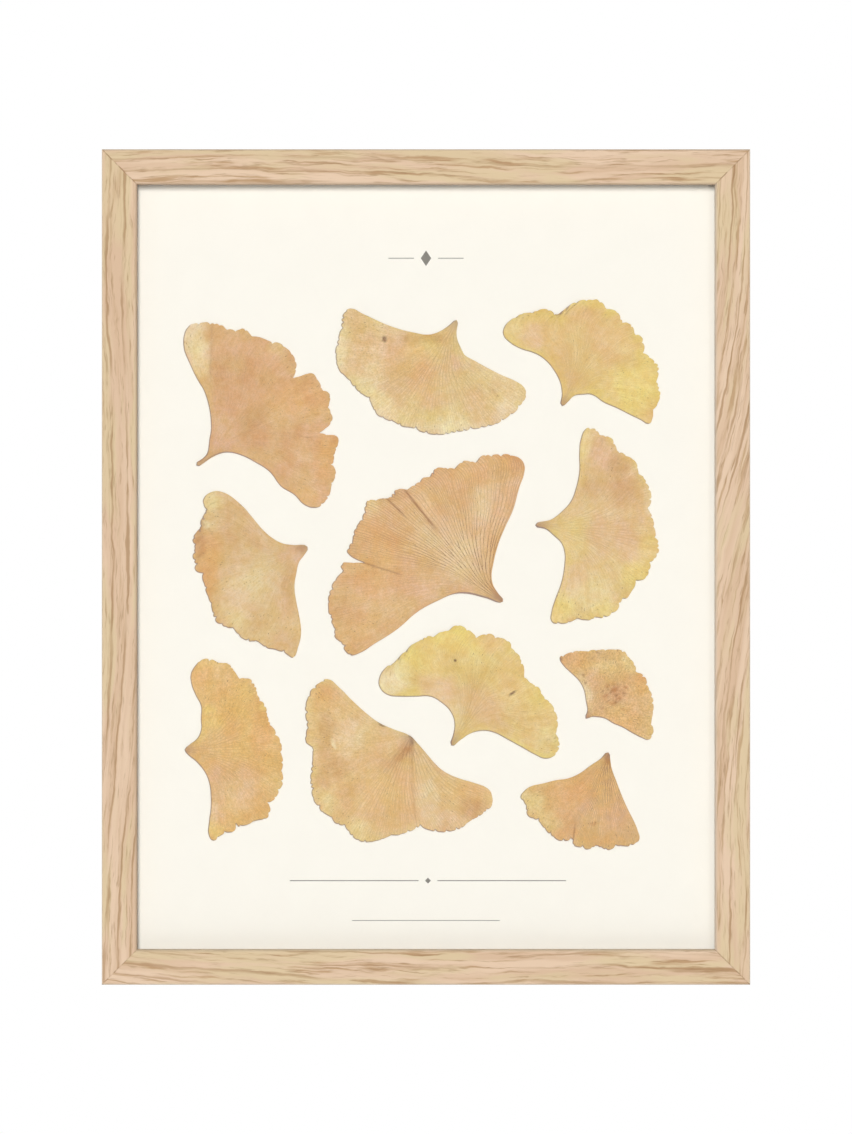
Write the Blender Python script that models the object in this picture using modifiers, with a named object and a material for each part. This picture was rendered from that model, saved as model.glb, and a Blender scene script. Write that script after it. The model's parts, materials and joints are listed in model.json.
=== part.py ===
"""A small light oak frame that holds eleven pressed ginkgo leaves on a sheet of card.

The frame stands as it hangs: X runs to the right, Z up, and the front faces -Y. The origin is at the
bottom edge, in the middle of the width and of the depth. Every size below is in millimetres, and MM
turns it into metres where a mesh is made.
"""

import math
from dataclasses import dataclass

import bmesh
import bpy
from mathutils import Matrix, Vector

MM = 0.001
GAP = 0.3

# The frame and the moulding that its four rails share
FRAME_WIDTH = 198.2
FRAME_HEIGHT = 255.4
FRAME_DEPTH = 16.0
RAIL_WIDTH = 10.8
LIP_WIDTH = 3.6
LIP_THICKNESS = 3.0
FRONT_EASE = 0.8
OPENING_EASE = 0.5
BACK_EASE = 0.4
EASE_STEPS = 3

# What lies in the rabbet, from the front to the back
FIT_PLAY = 0.4
PANE_THICKNESS = 1.8
LEAF_ROOM = 1.2
LEAF_THICKNESS = 0.6
SHEET_THICKNESS = 0.6
BOARD_THICKNESS = 2.5

# The flat steel points pressed into the rabbet's walls
POINT_WIDTH = 8.0
POINT_LENGTH = 13.0
POINT_THICKNESS = 0.5
POINT_IN_WOOD = 3.7
POINT_ROUNDING = 2.5
POINTS_ACROSS = 50.0
POINTS_UP = 70.0

# The hanger and its rivets
HANGER_LENGTH = 42.0
HANGER_HEIGHT = 9.0
HANGER_THICKNESS = 0.8
HANGER_FOOT = 8.0
HANGER_RISE = 1.6
HANGER_BELOW_EDGE = 22.0
TOOTH_PITCH = 2.4
TOOTH_DEPTH = 1.6
TOOTH_COUNT = 7
RIVET_HEAD_RADIUS = 2.2
RIVET_HEAD_HEIGHT = 0.9
RIVET_SHANK_RADIUS = 1.0
RIVET_IN_BOARD = 1.6
ROUND_STEPS = 16

# Worked out from the sizes above
FRONT = -FRAME_DEPTH / 2
BACK = FRAME_DEPTH / 2
MIDDLE = FRAME_HEIGHT / 2
RABBET_SIDE = RAIL_WIDTH - LIP_WIDTH
RABBET_WIDTH = FRAME_WIDTH - 2 * RABBET_SIDE
RABBET_HEIGHT = FRAME_HEIGHT - 2 * RABBET_SIDE
PANE_FRONT = FRONT + LIP_THICKNESS + GAP
PANE_BACK = PANE_FRONT + PANE_THICKNESS
SHEET_FRONT = PANE_BACK + LEAF_ROOM
LEAF_MIDDLE = SHEET_FRONT - LEAF_ROOM / 2
BOARD_FRONT = SHEET_FRONT + SHEET_THICKNESS + GAP
BOARD_BACK = BOARD_FRONT + BOARD_THICKNESS
POINT_FRONT = BOARD_BACK + GAP
HANGER_FRONT = BOARD_BACK + GAP
HANGER_UP = FRAME_HEIGHT - HANGER_BELOW_EDGE
RIVET_APART = HANGER_LENGTH - HANGER_FOOT

# A turn about Y brings the left rail's place to each side in order
SIDES = {"left": 0.0, "top": 90.0, "right": 180.0, "bottom": 270.0}
# Steps along each part of a leaf's outline between two of its points
LEAF_STEPS = 3


@dataclass(frozen=True)
class Leaf:
    """A pressed leaf: its stalk's cut end on the sheet, measured from the sheet's middle, and its edge.

    The edge is given from the cut end as (right, up) offsets: along the first side of the blade, round
    the lobes of the margin, and back down the second side. Each lobe but the last ends in a notch.
    """

    place: str
    foot: tuple
    first_side: tuple
    lobes: tuple
    second_side: tuple


LEAVES = (
    Leaf(
        "top_left",
        (-70.4, 31.1),
        ((3, 3), (4, 8), (4.5, 12), (2.5, 22.5), (0.5, 26), (-1.5, 30), (-4, 38), (-2, 43)),
        (
            ((1.5, 44), (7.5, 43.5), (9.5, 42)),
            ((12.5, 42), (15, 42), (17, 40)),
            ((20, 39.5), (22.5, 38.5), (26, 37.5), (29, 35), (31, 31), (30, 27)),
            ((32, 27.5), (35.5, 28.5), (37.5, 26.5), (39, 23.5)),
            ((41, 22), (41, 18), (42, 14), (38, 10)),
            ((41, 9.5), (43.5, 9), (44, 7), (43, 4.5), (42.5, 0)),
            ((43, -2.5), (42, -5.5), (41.5, -8), (39.5, -11.5), (36.5, -13)),
        ),
        ((33, -12), (30, -9), (26, -6.5), (22.5, -2), (18, 1), (14, 3), (9.5, 4), (6.5, 3.5), (3.5, 2)),
    ),
    Leaf(
        "top_middle",
        (9.4, 75.7),
        ((-2, -1.5), (-5, -3.5), (-8.5, -4.5), (-12.5, -4), (-20, -2), (-29, 2), (-32.5, 3.5)),
        (
            (
                (-35, 2),
                (-36, -0.5),
                (-36, -3),
                (-37, -7),
                (-37.5, -10),
                (-36.5, -15),
                (-33.5, -18.5),
                (-30.5, -22),
                (-27, -25),
                (-26, -27.5),
            ),
            ((-24.5, -29.5), (-21.5, -31), (-19.5, -31.5)),
            (
                (-17, -33),
                (-14, -33.5),
                (-11.5, -34.5),
                (-7.5, -35.5),
                (-4, -35.5),
                (4, -34),
                (11.5, -32.5),
                (14.5, -31),
                (18, -28.5),
                (20.5, -25.5),
                (21.5, -22.5),
                (20.5, -20.5),
                (18.5, -19),
            ),
        ),
        ((14, -17), (10, -15), (5.5, -12.5), (1.5, -10), (0.5, -8), (-0.5, -5), (-0.5, -3)),
    ),
    Leaf(
        "top_right",
        (41.6, 49.3),
        (
            (0, 3.5),
            (-0.5, 7),
            (-2.5, 11),
            (-5, 14),
            (-8, 16),
            (-12.5, 17.5),
            (-16, 19.5),
            (-18, 22),
            (-17.5, 24.5),
            (-15.5, 26.5),
        ),
        (
            ((-12.5, 28.5), (-9.5, 29), (-5, 30), (-1.5, 28.5)),
            ((1, 30), (4, 32), (9, 33), (12, 32.5), (13.5, 30.5)),
            ((16.5, 29.5), (18, 28), (19, 26)),
            ((21.5, 25), (22.5, 22.5)),
            ((24.5, 21.5), (25.5, 19), (25.5, 16.5)),
            ((28, 14.5), (30, 12.5), (30, 10.5), (29.5, 8)),
            ((30.5, 4.5), (30, 1.5), (28.5, -1.5), (28, -4), (26.5, -5.5)),
        ),
        ((24.5, -4.5), (20.5, -2.5), (16.5, -0.5), (13, 1), (9, 3.5), (6.5, 3.5), (3.5, 3), (1.5, 1)),
    ),
    Leaf(
        "middle_left",
        (-36.3, 6.2),
        (
            (-4, 0.5),
            (-7.5, 1),
            (-10.5, 2.5),
            (-13.5, 5),
            (-16.5, 8.5),
            (-20.5, 13),
            (-27, 17),
            (-30, 16.5),
            (-32, 14.5),
        ),
        (
            ((-32, 12.5), (-31.5, 10.5)),
            ((-33, 8), (-33.5, 5.5)),
            ((-35.5, 2.5), (-35, -0.5)),
            ((-35.5, -2.5), (-35, -5), (-34.5, -7.5), (-33, -8.5)),
            ((-31.5, -13.5), (-30, -18), (-29, -22), (-27.5, -24), (-25, -25), (-23, -25)),
            ((-21.5, -27), (-19, -29), (-15.5, -29.5), (-13, -31), (-8, -32.5), (-6, -33.5), (-4.5, -34)),
        ),
        (
            (-3, -31),
            (-2, -26.5),
            (-2.5, -21.5),
            (-3.5, -16.5),
            (-4, -12),
            (-3.5, -8.5),
            (-2.5, -4.5),
            (-1, -2.5),
        ),
    ),
    Leaf(
        "centre",
        (23.6, -10.6),
        (
            (-4.5, 1),
            (-10, 2.5),
            (-14.5, 2.5),
            (-19.5, 0.5),
            (-26, -3),
            (-32.5, -8.5),
            (-39.5, -13),
            (-44.5, -16),
        ),
        (
            ((-47, -16.5), (-48.5, -15.5), (-50, -13), (-52, -10.5), (-52, -8.5)),
            ((-53.5, -5), (-54, -2.5), (-53.5, 3), (-51.5, 7), (-49.5, 9.5)),
            ((-50, 11.5), (-46.5, 12), (-43, 12)),
            ((-48, 15), (-48, 16.5), (-46.5, 18.5)),
            ((-46, 22), (-43.5, 25.5)),
            ((-43, 28), (-42, 31), (-39.5, 31.5), (-35.5, 32)),
            ((-33, 34.5), (-29.5, 34.5)),
            ((-27, 36.5), (-25, 38), (-22.5, 38.5)),
            ((-21, 41), (-18, 41.5), (-15, 41)),
            ((-13, 43), (-10.5, 43.5), (-8.5, 43)),
            ((-6.5, 45), (-3.5, 45.5), (1, 45.5)),
        ),
        (
            (5, 44),
            (6.5, 42),
            (6.5, 39.5),
            (5, 35),
            (3, 28),
            (0.5, 22.5),
            (-1.5, 17.5),
            (-3, 11.5),
            (-3.5, 8),
            (-3, 5),
            (-1.5, 2.5),
        ),
    ),
    Leaf(
        "middle_right",
        (33.4, 12.8),
        (
            (4.5, 1.5),
            (8.5, 4.5),
            (11, 7.5),
            (12.5, 11.5),
            (13.5, 16.5),
            (13.5, 22),
            (14, 26.5),
            (15.5, 29.5),
        ),
        (
            ((17, 30), (19, 29.5), (20, 28)),
            ((22.5, 27.5), (24, 26.5), (25, 24.5), (25.5, 23)),
            ((28.5, 21.5), (31, 19.5), (32, 16)),
            ((34, 14.5), (35, 12.5), (36, 8.5), (35, 5)),
            ((36.5, 2), (37, -1.5), (38.5, -7.5), (36, -11.5)),
            ((35.5, -14), (34, -16.5), (31.5, -17.5)),
            ((29.5, -21), (28.5, -22.5), (27, -23)),
            ((26, -25.5), (23.5, -27.5), (21.5, -28.5), (19, -28.5)),
            ((15.5, -29.5), (13, -29)),
            ((10.5, -30), (7, -30.5), (5, -29.5)),
        ),
        ((5, -26.5), (6, -23), (8, -17.5), (9, -11.5), (9, -8.5), (8, -5.5), (5.5, -3), (3, -1)),
    ),
    Leaf(
        "lower_centre",
        (7.7, -54.7),
        (
            (0.5, 3),
            (1, 6.5),
            (0, 10),
            (-3.5, 13.5),
            (-6.5, 15),
            (-10.5, 15),
            (-16, 15),
            (-19.5, 15.5),
            (-22, 18),
            (-22, 21),
            (-20, 24),
        ),
        (
            ((-17.5, 26), (-14.5, 29), (-12.5, 31)),
            ((-10, 32.5), (-8, 34), (-5.5, 33.5)),
            ((-3.5, 35), (-1, 35.5), (1.5, 37), (5, 36), (8, 33.5)),
            (
                (10.5, 34.5),
                (12.5, 34.5),
                (15, 33.5),
                (18, 32),
                (19, 30),
                (21, 28),
                (22.5, 24.5),
                (22.5, 21.5),
            ),
            ((24.5, 19.5), (27, 18), (28.5, 15.5), (30.5, 13.5), (32.5, 10), (33, 6.5), (32.5, 3.5)),
            ((33.5, 1), (33, -1.5), (31, -3.5)),
        ),
        ((28.5, -4), (26, -3), (21.5, -0.5), (17, 2), (13, 4), (9.5, 4.5), (5.5, 3.5), (2.5, 1.5)),
    ),
    Leaf(
        "small_right",
        (48.9, -46.5),
        ((0.5, 2.5), (0, 5.5), (-0.5, 8.5), (-2, 11.5), (-4.5, 14), (-7, 16.5), (-8, 18.5)),
        (
            ((-7.5, 19.5), (-5.5, 20.5), (-2.5, 21), (0, 21), (2, 21.5), (5, 21.5)),
            ((7.5, 21.5), (10.5, 21.5), (12, 21), (13, 19.5), (14.5, 18), (15.5, 16.5), (16, 14.5)),
            ((18, 13.5), (19, 12), (19.5, 10), (21, 6.5), (21, 2.5), (20.5, -1)),
            ((21, -3.5), (20.5, -5.5), (19, -6.5)),
        ),
        ((17.5, -6), (14.5, -4.5), (11, -2.5), (8.5, -1.5), (6, 0), (3.5, 0.5), (1.5, 0.5)),
    ),
    Leaf(
        "bottom_left",
        (-74.0, -56.0),
        (
            (1.5, 1.5),
            (3.5, 3),
            (5, 6),
            (5, 9.5),
            (5, 13.5),
            (3.5, 16.5),
            (2, 20.5),
            (2, 23.5),
            (3.5, 26),
        ),
        (
            ((5.5, 28), (8, 28), (10.5, 27), (14, 26.5), (15.5, 24.5), (17, 22)),
            ((20, 22), (22, 20), (22.5, 17)),
            ((24.5, 14.5), (25.5, 12.5), (25.5, 10.5)),
            ((27, 8), (28.5, 5), (30, 2), (30, -1)),
            ((30.5, -3.5), (30, -6.5)),
            ((30.5, -9.5), (29.5, -12.5), (28, -15), (26, -16.5)),
            ((26.5, -18.5), (25.5, -21), (22, -22), (19, -23.5), (17, -24), (16, -23)),
            ((15.5, -25), (13, -26), (11, -26.5), (9, -28), (7.5, -26.5)),
        ),
        ((7.5, -22), (8, -18), (8, -13.5), (7.5, -10), (6, -6.5), (3.5, -3.5), (0.5, -1)),
    ),
    Leaf(
        "bottom_middle",
        (-4.7, -51.8),
        ((-5, 2), (-9.5, 4), (-13, 6.5), (-18, 11), (-22, 15), (-25.5, 17.5)),
        (
            (
                (-28, 16.5),
                (-30.5, 14.5),
                (-32.5, 10),
                (-32.5, 4.5),
                (-32.5, 1.5),
                (-32.5, -2),
                (-30.5, -3.5),
            ),
            (
                (-30.5, -8),
                (-31, -11.5),
                (-30.5, -18.5),
                (-28.5, -22.5),
                (-25, -25),
                (-22.5, -27.5),
                (-20.5, -27.5),
            ),
            (
                (-18.5, -30.5),
                (-16, -32.5),
                (-10.5, -32.5),
                (-6.5, -31),
                (-3, -30.5),
                (1, -29),
                (3, -28),
            ),
            (
                (7, -29.5),
                (12.5, -29.5),
                (15.5, -28.5),
                (18, -26.5),
                (22.5, -24),
                (25, -21.5),
                (25, -18),
                (23.5, -16),
            ),
        ),
        ((20, -14.5), (15, -13), (10.5, -11), (7.5, -8.5), (4.5, -5), (1.5, -1.5)),
    ),
    Leaf(
        "bottom_right",
        (55.9, -56.8),
        (
            (-2.5, -2),
            (-5.5, -4),
            (-9, -6.5),
            (-12.5, -8),
            (-16, -8.5),
            (-20, -9.5),
            (-24, -10.5),
            (-26, -12),
            (-27, -13.5),
        ),
        (
            ((-26.5, -15), (-25.5, -16.5)),
            ((-25.5, -18.5), (-24.5, -20), (-22, -21)),
            ((-20, -23.5), (-18, -25.5), (-16, -27), (-13.5, -27.5), (-11, -27)),
            ((-11, -28.5), (-9, -29.5), (-6, -30), (-4, -29)),
            ((-2, -30), (-0.5, -30.5), (1, -30), (2, -29)),
            ((4.5, -29), (6.5, -29), (8.5, -28), (9.5, -26.5), (9, -24)),
        ),
        ((8, -21.5), (6, -17.5), (4, -13), (2.5, -9), (1, -5), (0.5, -2)),
    ),
)


def clear_scene():
    """Remove what the new file holds."""
    for thing in list(bpy.data.objects):
        bpy.data.objects.remove(thing, do_unlink=True)


def new_collection(name):
    """Add a collection to the scene."""
    collection = bpy.data.collections.new(name)
    bpy.context.scene.collection.children.link(collection)
    return collection


def new_material(name, colour, roughness, metallic=0.0, transmission=0.0):
    """Make a Principled material from a linear colour."""
    material = bpy.data.materials.new(name)
    material.use_nodes = True
    shader = material.node_tree.nodes["Principled BSDF"]
    shader.inputs["Base Color"].default_value = (*colour, 1.0)
    shader.inputs["Roughness"].default_value = roughness
    shader.inputs["Metallic"].default_value = metallic
    shader.inputs["Transmission Weight"].default_value = transmission
    material.diffuse_color = (*colour, 1.0)
    return material


def place(thing, collection, material=None):
    """Link an object to its collection and give it its material."""
    collection.objects.link(thing)
    if material is not None:
        thing.data.materials.append(material)
    return thing


def flat_curve(name, thickness):
    """Start a filled flat curve, extruded to a plate of the given thickness in millimetres."""
    curve = bpy.data.curves.new(name, "CURVE")
    curve.dimensions = "2D"
    curve.fill_mode = "BOTH"
    curve.extrude = thickness * MM / 2
    return curve


def straight_outline(curve, points):
    """Add a closed outline of straight runs through points in millimetres."""
    spline = curve.splines.new("POLY")
    spline.points.add(len(points) - 1)
    for corner, (across, up) in zip(spline.points, points):
        corner.co = (across * MM, up * MM, 0.0, 1.0)
    spline.use_cyclic_u = True


def curved_outline(curve, points, steps):
    """Add a closed smooth outline through (across, up, sharp) points in millimetres."""
    spline = curve.splines.new("BEZIER")
    spline.bezier_points.add(len(points) - 1)
    spline.resolution_u = steps
    for knot, (across, up, sharp) in zip(spline.bezier_points, points):
        knot.co = (across * MM, up * MM, 0.0)
        knot.handle_left_type = "VECTOR" if sharp else "AUTO"
        knot.handle_right_type = "VECTOR" if sharp else "AUTO"
    spline.use_cyclic_u = True


def arc(centre, radius, start, end, steps):
    """Points on a round corner from one angle to another, in degrees."""
    angles = [math.radians(start + (end - start) * step / steps) for step in range(steps + 1)]
    return [(centre[0] + radius * math.cos(a), centre[1] + radius * math.sin(a)) for a in angles]


def mesh_from_curve(curve, name):
    """Turn a curve into a welded mesh in its own axes."""
    holder = bpy.data.objects.new(name, curve)
    bpy.context.scene.collection.objects.link(holder)
    evaluated = holder.evaluated_get(bpy.context.evaluated_depsgraph_get())
    mesh = bpy.data.meshes.new_from_object(evaluated)
    bpy.data.objects.remove(holder, do_unlink=True)
    model = bmesh.new()
    model.from_mesh(mesh)
    bmesh.ops.remove_doubles(model, verts=model.verts, dist=0.00001)
    model.to_mesh(mesh)
    model.free()
    mesh.name = name
    return mesh


def box_mesh(name, size):
    """A box of the given (x, y, z) size in millimetres about its own middle."""
    model = bmesh.new()
    bmesh.ops.create_cube(model, size=1.0, matrix=Matrix.Diagonal((*(side * MM for side in size), 1.0)))
    mesh = bpy.data.meshes.new(name)
    model.to_mesh(mesh)
    model.free()
    return mesh


def cut(thing, cutter):
    """Take the cutter's shape out of a mesh object."""
    modifier = thing.modifiers.new(cutter.name, "BOOLEAN")
    modifier.operation = "DIFFERENCE"
    modifier.solver = "EXACT"
    modifier.object = cutter


def as_cutter(thing, cutters):
    """Put a cutting shape among the cutters, drawn as wire only."""
    cutters.objects.link(thing)
    thing.hide_render = True
    thing.display_type = "WIRE"
    return thing


def side_matrix(side, along=0.0, inward=0.0, depth=0.0):
    """The place on one side of the frame: local X runs inward, Y to the back and Z along the rail."""
    turn = Matrix.Rotation(math.radians(SIDES[side]), 4, "Y")
    half = FRAME_WIDTH / 2 if side in ("left", "right") else FRAME_HEIGHT / 2
    middle = Matrix.Translation(Vector((0.0, 0.0, MIDDLE * MM)))
    return middle @ turn @ Matrix.Translation(Vector(((inward - half) * MM, depth * MM, along * MM)))


def rail_section():
    """The moulding's section as (inward from the outer edge, depth from the front), with eased edges."""
    section = arc((FRONT_EASE, FRONT_EASE), FRONT_EASE, 180, 270, EASE_STEPS)
    section += arc((RAIL_WIDTH - OPENING_EASE, OPENING_EASE), OPENING_EASE, 270, 360, EASE_STEPS)
    section += [
        (RAIL_WIDTH, LIP_THICKNESS),
        (RABBET_SIDE, LIP_THICKNESS),
        (RABBET_SIDE, FRAME_DEPTH),
        (BACK_EASE, FRAME_DEPTH),
        (0.0, FRAME_DEPTH - BACK_EASE),
    ]
    return section


def make_rail(side, oak, parts):
    """A mitred length of the moulding along one side of the frame."""
    length = FRAME_HEIGHT if side in ("left", "right") else FRAME_WIDTH
    curve = flat_curve(f"rail_{side}", length)
    straight_outline(curve, rail_section())
    mesh = mesh_from_curve(curve, f"rail_{side}")
    open_joint = GAP / 2 * math.sqrt(2)
    for corner in mesh.vertices:
        mitred = length / 2 * MM - corner.co.x - open_joint * MM
        corner.co.z = math.copysign(mitred, corner.co.z)
    rail = place(bpy.data.objects.new(f"rail_{side}", mesh), parts, oak)
    rail.matrix_world = side_matrix(side, depth=FRONT)
    return rail


def make_slab(name, width, height, front, thickness, material, parts):
    """A plain rectangular sheet that stands in the rabbet."""
    slab = place(bpy.data.objects.new(name, box_mesh(name, (width, thickness, height))), parts, material)
    slab.location = (0.0, (front + thickness / 2) * MM, MIDDLE * MM)
    return slab


def make_leaf(leaf, material, parts):
    """One pressed leaf with its stalk's stub, as a thin plate with the leaf's outline."""
    name = f"leaf_{leaf.place}"
    edge = [(0.0, 0.0, False)]
    edge += [(*point, False) for point in leaf.first_side]
    for number, lobe in enumerate(leaf.lobes):
        notched = number < len(leaf.lobes) - 1
        edge += [(*point, False) for point in lobe[:-1]]
        edge.append((*lobe[-1], notched))
    edge += [(*point, False) for point in leaf.second_side]
    curve = flat_curve(name, LEAF_THICKNESS)
    curved_outline(curve, edge, LEAF_STEPS)
    thing = place(bpy.data.objects.new(name, curve), parts, material)
    thing.rotation_euler.x = math.radians(90)
    thing.location = (leaf.foot[0] * MM, LEAF_MIDDLE * MM, (MIDDLE + leaf.foot[1]) * MM)
    return thing


def point_outline():
    """A steel point from its end in the wood, inward over the board, with round inner corners."""
    half, reach, round_by = POINT_WIDTH / 2, POINT_LENGTH, POINT_ROUNDING
    outline = [(0.0, half), (0.0, -half)]
    outline += arc((reach - round_by, -half + round_by), round_by, -90, 0, EASE_STEPS)
    outline += arc((reach - round_by, half - round_by), round_by, 0, 90, EASE_STEPS)
    return outline


def make_point(side, along, label, rail, steel, parts, cutters):
    """A steel point that holds the board, and the slot for it in the rail."""
    curve = flat_curve(f"point_{label}", POINT_THICKNESS)
    straight_outline(curve, point_outline())
    point = place(bpy.data.objects.new(f"point_{label}", curve), parts, steel)
    start = RABBET_SIDE - POINT_IN_WOOD
    depth = POINT_FRONT + POINT_THICKNESS / 2
    stand = Matrix.Rotation(math.radians(90), 4, "X")
    point.matrix_world = side_matrix(side, along, start, depth) @ stand
    slot_size = (POINT_IN_WOOD + 2 * GAP, POINT_THICKNESS + 2 * GAP, POINT_WIDTH + 2 * GAP)
    slot = as_cutter(bpy.data.objects.new(f"slot_{label}", box_mesh(f"slot_{label}", slot_size)), cutters)
    slot.matrix_world = side_matrix(side, along, start + POINT_IN_WOOD / 2, depth)
    cut(rail, slot)


def hanger_outline():
    """The hanger's bent strip seen from above: two feet on the board and a raised middle."""
    half, foot, rise, thick = HANGER_LENGTH / 2, HANGER_FOOT, HANGER_RISE, HANGER_THICKNESS
    inner = half - foot
    return [
        (-half, 0.0),
        (-inner, 0.0),
        (-inner + rise, rise),
        (inner - rise, rise),
        (inner, 0.0),
        (half, 0.0),
        (half, thick),
        (inner + thick / 2, thick),
        (inner - rise + thick / 2, rise + thick),
        (-inner + rise - thick / 2, rise + thick),
        (-inner - thick / 2, thick),
        (-half, thick),
    ]


def tooth_outline():
    """The row of notches under the hanger's raised middle, as one saw-edged shape."""
    half = TOOTH_COUNT * TOOTH_PITCH / 2
    outline = [(half, -TOOTH_DEPTH), (-half, -TOOTH_DEPTH)]
    for tooth in range(TOOTH_COUNT):
        left = -half + tooth * TOOTH_PITCH
        outline += [(left, 0.0), (left + TOOTH_PITCH / 2, TOOTH_DEPTH)]
    outline.append((half, 0.0))
    return outline


def round_cutter(name, radius, length, middle, cutters):
    """A round cutting bar that runs from the front to the back through a point in metres."""
    model = bmesh.new()
    bmesh.ops.create_cone(
        model,
        cap_ends=True,
        segments=ROUND_STEPS,
        radius1=radius * MM,
        radius2=radius * MM,
        depth=length * MM,
    )
    mesh = bpy.data.meshes.new(name)
    model.to_mesh(mesh)
    model.free()
    bar = as_cutter(bpy.data.objects.new(name, mesh), cutters)
    bar.rotation_euler.x = math.radians(90)
    bar.location = middle
    return bar


def make_hanger(board, steel, parts, cutters):
    """The toothed strip on the board, its two rivets and the holes for them."""
    curve = flat_curve("hanger", HANGER_HEIGHT)
    straight_outline(curve, hanger_outline())
    hanger = place(bpy.data.objects.new("hanger", mesh_from_curve(curve, "hanger")), parts, steel)
    hanger.location = (0.0, HANGER_FRONT * MM, HANGER_UP * MM)

    teeth_curve = flat_curve("teeth", 4 * HANGER_RISE)
    straight_outline(teeth_curve, tooth_outline())
    teeth = as_cutter(bpy.data.objects.new("teeth", mesh_from_curve(teeth_curve, "teeth")), cutters)
    teeth.rotation_euler.x = math.radians(90)
    teeth.location = (0.0, (HANGER_FRONT + HANGER_RISE) * MM, (HANGER_UP - HANGER_HEIGHT / 2) * MM)
    cut(hanger, teeth)

    hole_length = 2 * (RIVET_IN_BOARD + GAP)
    for side, across in (("left", -RIVET_APART / 2), ("right", RIVET_APART / 2)):
        radius = RIVET_SHANK_RADIUS + GAP
        for thing, depth in ((hanger, HANGER_FRONT), (board, BOARD_BACK)):
            middle = Vector((across, depth, HANGER_UP)) * MM
            cut(thing, round_cutter(f"{thing.name}_hole_{side}", radius, hole_length, middle, cutters))
        make_rivet(side, across, steel, parts)


def make_rivet(side, across, steel, parts):
    """A round-headed rivet, turned about its own axis, with its shank through the hanger's foot."""
    seat = HANGER_FRONT + HANGER_THICKNESS + GAP
    profile = [(0.0, RIVET_HEAD_HEIGHT), (0.55 * RIVET_HEAD_RADIUS, 0.8 * RIVET_HEAD_HEIGHT)]
    profile += [(RIVET_HEAD_RADIUS, 0.0), (RIVET_SHANK_RADIUS, 0.0)]
    shank_end = BOARD_BACK - RIVET_IN_BOARD - seat
    profile += [(RIVET_SHANK_RADIUS, shank_end), (0.0, shank_end)]
    model = bmesh.new()
    corners = [model.verts.new((radius * MM, 0.0, up * MM)) for radius, up in profile]
    for start, end in zip(corners, corners[1:]):
        model.edges.new((start, end))
    mesh = bpy.data.meshes.new(f"rivet_{side}")
    model.to_mesh(mesh)
    model.free()
    rivet = place(bpy.data.objects.new(f"rivet_{side}", mesh), parts, steel)
    turn = rivet.modifiers.new("turned", "SCREW")
    turn.steps = ROUND_STEPS
    turn.render_steps = ROUND_STEPS
    turn.use_merge_vertices = True
    turn.merge_threshold = 0.00001
    rivet.rotation_euler.x = math.radians(-90)
    rivet.location = (across * MM, seat * MM, HANGER_UP * MM)


def make_part():
    """Build the framed leaves, from the rails to the hanger."""
    clear_scene()
    parts = new_collection("framed_ginkgo_leaves")
    cutters = new_collection("cutters")
    oak = new_material("light_oak", (0.67, 0.50, 0.35), 0.55)
    clear = new_material("clear_pane", (0.97, 0.98, 0.97), 0.03, transmission=1.0)
    card = new_material("off_white_card", (0.94, 0.90, 0.82), 0.85)
    dried = new_material("dried_leaf", (0.56, 0.36, 0.15), 0.6)
    fibre = new_material("hardboard", (0.28, 0.17, 0.09), 0.8)
    steel = new_material("plated_steel", (0.62, 0.60, 0.56), 0.35, metallic=1.0)

    rails = {side: make_rail(side, oak, parts) for side in SIDES}
    fit = (RABBET_WIDTH - 2 * FIT_PLAY, RABBET_HEIGHT - 2 * FIT_PLAY)
    make_slab("glass_pane", *fit, PANE_FRONT, PANE_THICKNESS, clear, parts)
    make_slab("sheet", *fit, SHEET_FRONT, SHEET_THICKNESS, card, parts)
    board = make_slab("backing_board", *fit, BOARD_FRONT, BOARD_THICKNESS, fibre, parts)
    for leaf in LEAVES:
        make_leaf(leaf, dried, parts)
    for side, rail in rails.items():
        spread = POINTS_UP if side in ("left", "right") else POINTS_ACROSS
        for number, along in enumerate((-spread, spread), start=1):
            make_point(side, along, f"{side}_{number}", rail, steel, parts, cutters)
    make_hanger(board, steel, parts, cutters)


make_part()
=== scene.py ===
"""The looks of a small oak frame that holds eleven pressed ginkgo leaves behind a pane.

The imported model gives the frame's shape and each leaf's outline. The rails and the leaves get finer meshes
here, and every other part gets its finish. Sizes are in millimetres, and MM turns them into metres. X runs
to the right, Z up, and the front faces -Y.
"""

import json
import logging
import math
from collections.abc import Sequence
from dataclasses import dataclass
from enum import Enum
from typing import ClassVar

import bmesh
import bpy
import numpy as np
from mathutils import Matrix, Vector
from mathutils.kdtree import KDTree

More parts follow.
